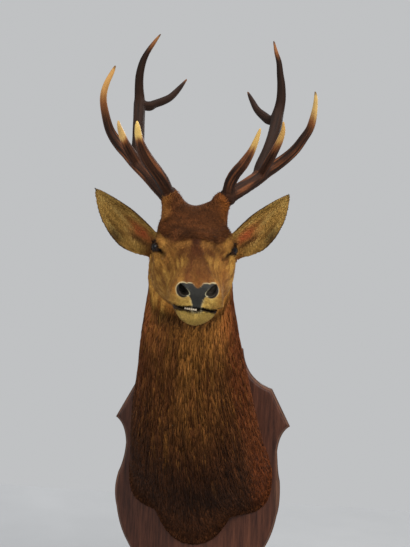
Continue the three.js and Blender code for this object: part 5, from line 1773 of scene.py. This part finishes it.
    # the upper beams and back tines are painted near black: partly their own dark colour, partly painted shade of the
    # crown leaning back towards the wall
    rgb = mixm(rgb, srgb(29, 16, 8), ~lower * 0.75)
    for i, tn in enumerate(names):
        rows = tines[tn]
        sel = tid == i
        if tn == "main":
            n0 = len(A["stem"]) - 1
            total = np.cumsum([0] + [np.linalg.norm(np.array(rows[j + 1][:3], float) - np.array(rows[j][:3], float)) for j in range(len(rows) - 1)])
            sh = (arc - total[n0]) / (total[-1] - total[n0])
            key = "tray"
        elif tn == "upper":
            n0 = len(A["beam"]) - 1
            total = np.cumsum([0] + [np.linalg.norm(np.array(rows[j + 1][:3], float) - np.array(rows[j][:3], float)) for j in range(len(rows) - 1)])
            sh = (arc - total[n0]) / (total[-1] - total[n0])
            key = "front"
        else:
            total = np.cumsum([0] + [np.linalg.norm(np.array(rows[j + 1][:3], float) - np.array(rows[j][:3], float)) for j in range(len(rows) - 1)])
            sh = arc / total[-1]
            key = tn
        a0, a1, tip = TIPS[side][key]
        m = smooth(a0, a1, sh + 0.06 * ridg) * sel
        mid = srgb(128, 78, 42)
        rgb = mixm(rgb, mid, smooth(0.0, 0.6, m) * 0.9)
        rgb = mixm(rgb, tip, smooth(0.4, 1.0, m) * (0.85 + 0.15 * fine))
        if key in ("tray", "front"):
            rgb = mixm(rgb, srgb(60, 42, 30), smooth(0.955, 1.0, sh) * sel * 0.8)
        tipness = np.maximum(tipness, smooth(a0 - 0.12, a1, sh) * sel)
    polish = tipness
    rough = (1 - 0.9 * tipness)
    disp = rough * (1.0 * ridg + 0.55 * fine) * smooth(3, 12, R)
    disp += low * 1.1 * np.clip(pearls, -0.2, 1)
    disp += burr * (0.3 + 1.1 * np.clip(pearls + 0.4 * noise3(np.stack([an * 3.2, arc * 0, arc * 0], 1), 91), -0.6, 1))
    co = co + nn * disp[:, None]
    rgb = rgb * (1 + 0.25 * np.clip(pearls, -0.5, 1) * low)[:, None]
    o = mesh_object(f"antler_{side}", co, faces, material=ANTLER)
    add_tone(o, np.clip(rgb, 0.002, 1))
    add_value(o, polish, "polish")
    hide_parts(*[f"antler_{side}_{k}" for k in ("stem", "brow", "bez", "tray", "beam", "front", "back")])
    print("antler", side, len(co), "verts", sum(len(g) * (g.shape[1] - 2) for g in faces), "tris")

# ============================================================ board
B = dict(horn=[237, 109], waist=[206, 40], belly=[226, -82], flank=[184, -230], point=[0, -352], side=[185, 207], top=[103, 311], crown=342)


def board_outline(fine=5):
    half = []

    def quad_(p, c, q, n):
        for i in range(1, n * fine + 1):
            t = i / (n * fine)
            u = 1 - t
            half.append([u * u * p[0] + 2 * u * t * c[0] + t * t * q[0], u * u * p[1] + 2 * u * t * c[1] + t * t * q[1]])
    half.append([0, B["crown"]])
    quad_([0, B["crown"]], [62, B["crown"] - 2], B["top"], 5)
    quad_(B["top"], [B["top"][0] + 8, B["side"][1] + 22], B["side"], 6)
    quad_(B["side"], [210, 160], B["horn"], 2)
    quad_(B["horn"], [B["waist"][0] + 4, B["waist"][1] + 52], B["waist"], 5)
    quad_(B["waist"], [B["waist"][0] + 3, B["waist"][1] - 50], [220, -40], 4)
    quad_([220, -40], [B["belly"][0] + 4, B["belly"][1] - 10], [218, -135], 4)
    quad_([218, -135], [209, -190], B["flank"], 3)
    quad_(B["flank"], [136, -318], [34, -340], 7)
    quad_([34, -340], [14, -344], B["point"], 2)
    h = np.array(half)
    mirror = h[1:-1][::-1] * np.array([-1, 1])
    o = np.vstack([h, mirror])
    o[:, 0] -= 6.5 * smooth(25, -95, o[:, 1])     # the hand-sawn shield leans a little below its waist
    return o


def inset(o, d):
    a, b = np.roll(o, 1, 0), np.roll(o, -1, 0)
    e0, e1 = unit(o - a), unit(b - o)
    n0, n1 = np.stack([-e0[:, 1], e0[:, 0]], 1), np.stack([-e1[:, 1], e1[:, 0]], 1)
    m = unit(n0 + n1)
    k = np.clip((m * n0).sum(1), 0.45, 1)
    return o - m * (d / k)[:, None] if np.ndim(d) else o - m * (d / k)[:, None]


outline = board_outline()
turn_sign = ((outline[:, 0] * np.roll(outline[:, 1], -1) - np.roll(outline[:, 0], -1) * outline[:, 1]).sum())
if turn_sign < 0:                      # clockwise seen from the front: left normal points outward
    pass
PROFILE = [(1.2, 0.0), (0.3, -1.2), (0.0, -3), (0.0, -9), (0.0, -13.5), (0.5, -15.6), (1.7, -17.2), (3.3, -18.2), (4.6, -18.9), (5.2, -20.2),
           (5.7, -21.8), (6.8, -23.3), (8.4, -24.4), (10.2, -24.9), (12.0, -25.0)]
rings = []
for d, y in PROFILE:
    r = inset(outline, float(d))
    rings.append(np.stack([r[:, 0], np.full(len(r), y), r[:, 1]], 1))
rings = np.array(rings)
K = len(outline)
co = rings.reshape(-1, 3)
r_, k_ = np.meshgrid(np.arange(len(PROFILE) - 1), np.arange(K), indexing="ij")
quads = np.stack([r_ * K + k_, r_ * K + (k_ + 1) % K, (r_ + 1) * K + (k_ + 1) % K, (r_ + 1) * K + k_], -1).reshape(-1, 4)


def fill(ring2, inner, edges_extra=()):
    pts2 = [Vector(p) for p in ring2] + [Vector(p) for p in inner]
    n = len(ring2)
    edges = [(i, (i + 1) % n) for i in range(n)] + [(a + n, b + n) for a, b in edges_extra]
    vs, es, fs_, ov, oe, of_ = delaunay_2d_cdt(pts2, edges, [list(range(n))], 1, 1e-5)
    return np.array([list(v) for v in vs]), [f for f in fs_]


# front face with a drying crack below the skirt, and the flat back
front_ring = rings[-1][:, [0, 2]]
CRACK_X = 47.0
crack_z = np.linspace(-335, -232, 24)
wig = 0.9 * np.array([math.sin(z * 0.21) + 0.6 * math.sin(z * 0.53 + 1) for z in crack_z])
width = 0.75 * np.clip((crack_z + 0) * 0 + np.linspace(1.0, 0.15, 24), 0, 1)
cr_l = np.stack([CRACK_X + wig - width - 0.35, crack_z], 1)
cr_m = np.stack([CRACK_X + wig, crack_z], 1)
cr_r = np.stack([CRACK_X + wig + width + 0.35, crack_z], 1)
gx, gz = np.meshgrid(np.arange(-224, 225, 14.0), np.arange(-340, 335, 14.0))
grid_pts = np.stack([gx.ravel(), gz.ravel()], 1)


def inside_poly(p, poly):
    x, y = p.T
    res = np.zeros(len(p), bool)
    x0, y0 = poly[:, 0], poly[:, 1]
    x1, y1 = np.roll(x0, -1), np.roll(y0, -1)
    for a0, b0, a1, b1 in zip(x0, y0, x1, y1):
        c = ((b0 > y) != (b1 > y)) & (x < (a1 - a0) * (y - b0) / (b1 - b0 + 1e-12) + a0)
        res ^= c
    return res


safe = inset(outline, 17.0)
keep = inside_poly(grid_pts, safe) & (np.abs(grid_pts[:, 0] - CRACK_X) > 4)
inner = np.vstack([grid_pts[keep], cr_l, cr_m, cr_r])
vs, fs_ = fill(front_ring, inner)
depth_y = np.full(len(vs), -25.0)
for z, x in zip(cr_m[:, 1], cr_m[:, 0]):
    depth_y[np.hypot(vs[:, 0] - x, vs[:, 1] - z) < 1e-3] = -21.6
tri_f = np.array([f for f in fs_ if len(f) == 3])
v3 = np.stack([vs[:, 0], depth_y, vs[:, 1]], 1)
e0, e1 = v3[tri_f[:, 1]] - v3[tri_f[:, 0]], v3[tri_f[:, 2]] - v3[tri_f[:, 0]]
fn_ = np.cross(e0, e1)
tri_f = np.where((fn_[:, 1] > 0)[:, None], tri_f[:, ::-1], tri_f)
vb, fb = fill(rings[0][:, [0, 2]], np.zeros((0, 2)))
tri_b = np.array([f for f in fb if len(f) == 3])
v3b = np.stack([vb[:, 0], np.zeros(len(vb)), vb[:, 1]], 1)
fn_ = np.cross(v3b[tri_b[:, 1]] - v3b[tri_b[:, 0]], v3b[tri_b[:, 2]] - v3b[tri_b[:, 0]])
tri_b = np.where((fn_[:, 1] < 0)[:, None], tri_b[:, ::-1], tri_b)
fn_ = np.cross(co[quads[:, 2]] - co[quads[:, 0]], co[quads[:, 3]] - co[quads[:, 1]])
mid2 = co[quads].mean(1)
want = np.stack([mid2[:, 0], np.zeros(len(mid2)), mid2[:, 2]], 1)
if (fn_[: K] * want[: K]).sum() < 0:
    quads = quads[:, ::-1]
n1, n2 = len(co), len(v3)
all_co = np.vstack([co, v3, v3b])
tris = np.vstack([tri_f + n1, tri_b + n1 + n2])
# the fills' rims are the same points as the rings' rims: join them
key = np.round(all_co, 3)
uniq, inv = np.unique(key, axis=0, return_inverse=True)
first = np.full(len(uniq), -1)
for i, u in enumerate(inv.ravel()):
    if first[u] < 0:
        first[u] = i
new_co = all_co[first]
quads, tris = inv.ravel()[quads], inv.ravel()[tris]
bad = (tris[:, 0] == tris[:, 1]) | (tris[:, 1] == tris[:, 2]) | (tris[:, 0] == tris[:, 2])
board = mesh_object("shield_board", new_co, [quads, tris[~bad]], smooth_shade=False, material=WOOD)
bx, by, bz = new_co.T
edge_d = np.minimum(1, 1)
# painted shade on the back of the board's edge, towards the wall; the crack's darkness is joined in below
shade_and_crack = smooth(-19, -8, by) * 0.75
in_crack = smooth(-24.6, -22.5, by) * (np.abs(bx - CRACK_X) < 3) * (bz < -225) * (bz > -340)
add_value(board, np.maximum(shade_and_crack, in_crack), "shade_and_crack")
# painted highlight: a pale strip along the moulding, and on the right side's front edge
edge_highlight = np.exp(-((by + 18.6) / 1.3) ** 2) * 0.35 + smooth(200, 215, np.abs(bx)) * np.exp(-((by + 24) / 1.4) ** 2) * 0.5 * smooth(-150, -60, bz) * smooth(60, 20, bz) * (bx > 0)
add_value(board, edge_highlight, "edge_highlight")
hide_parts("board")
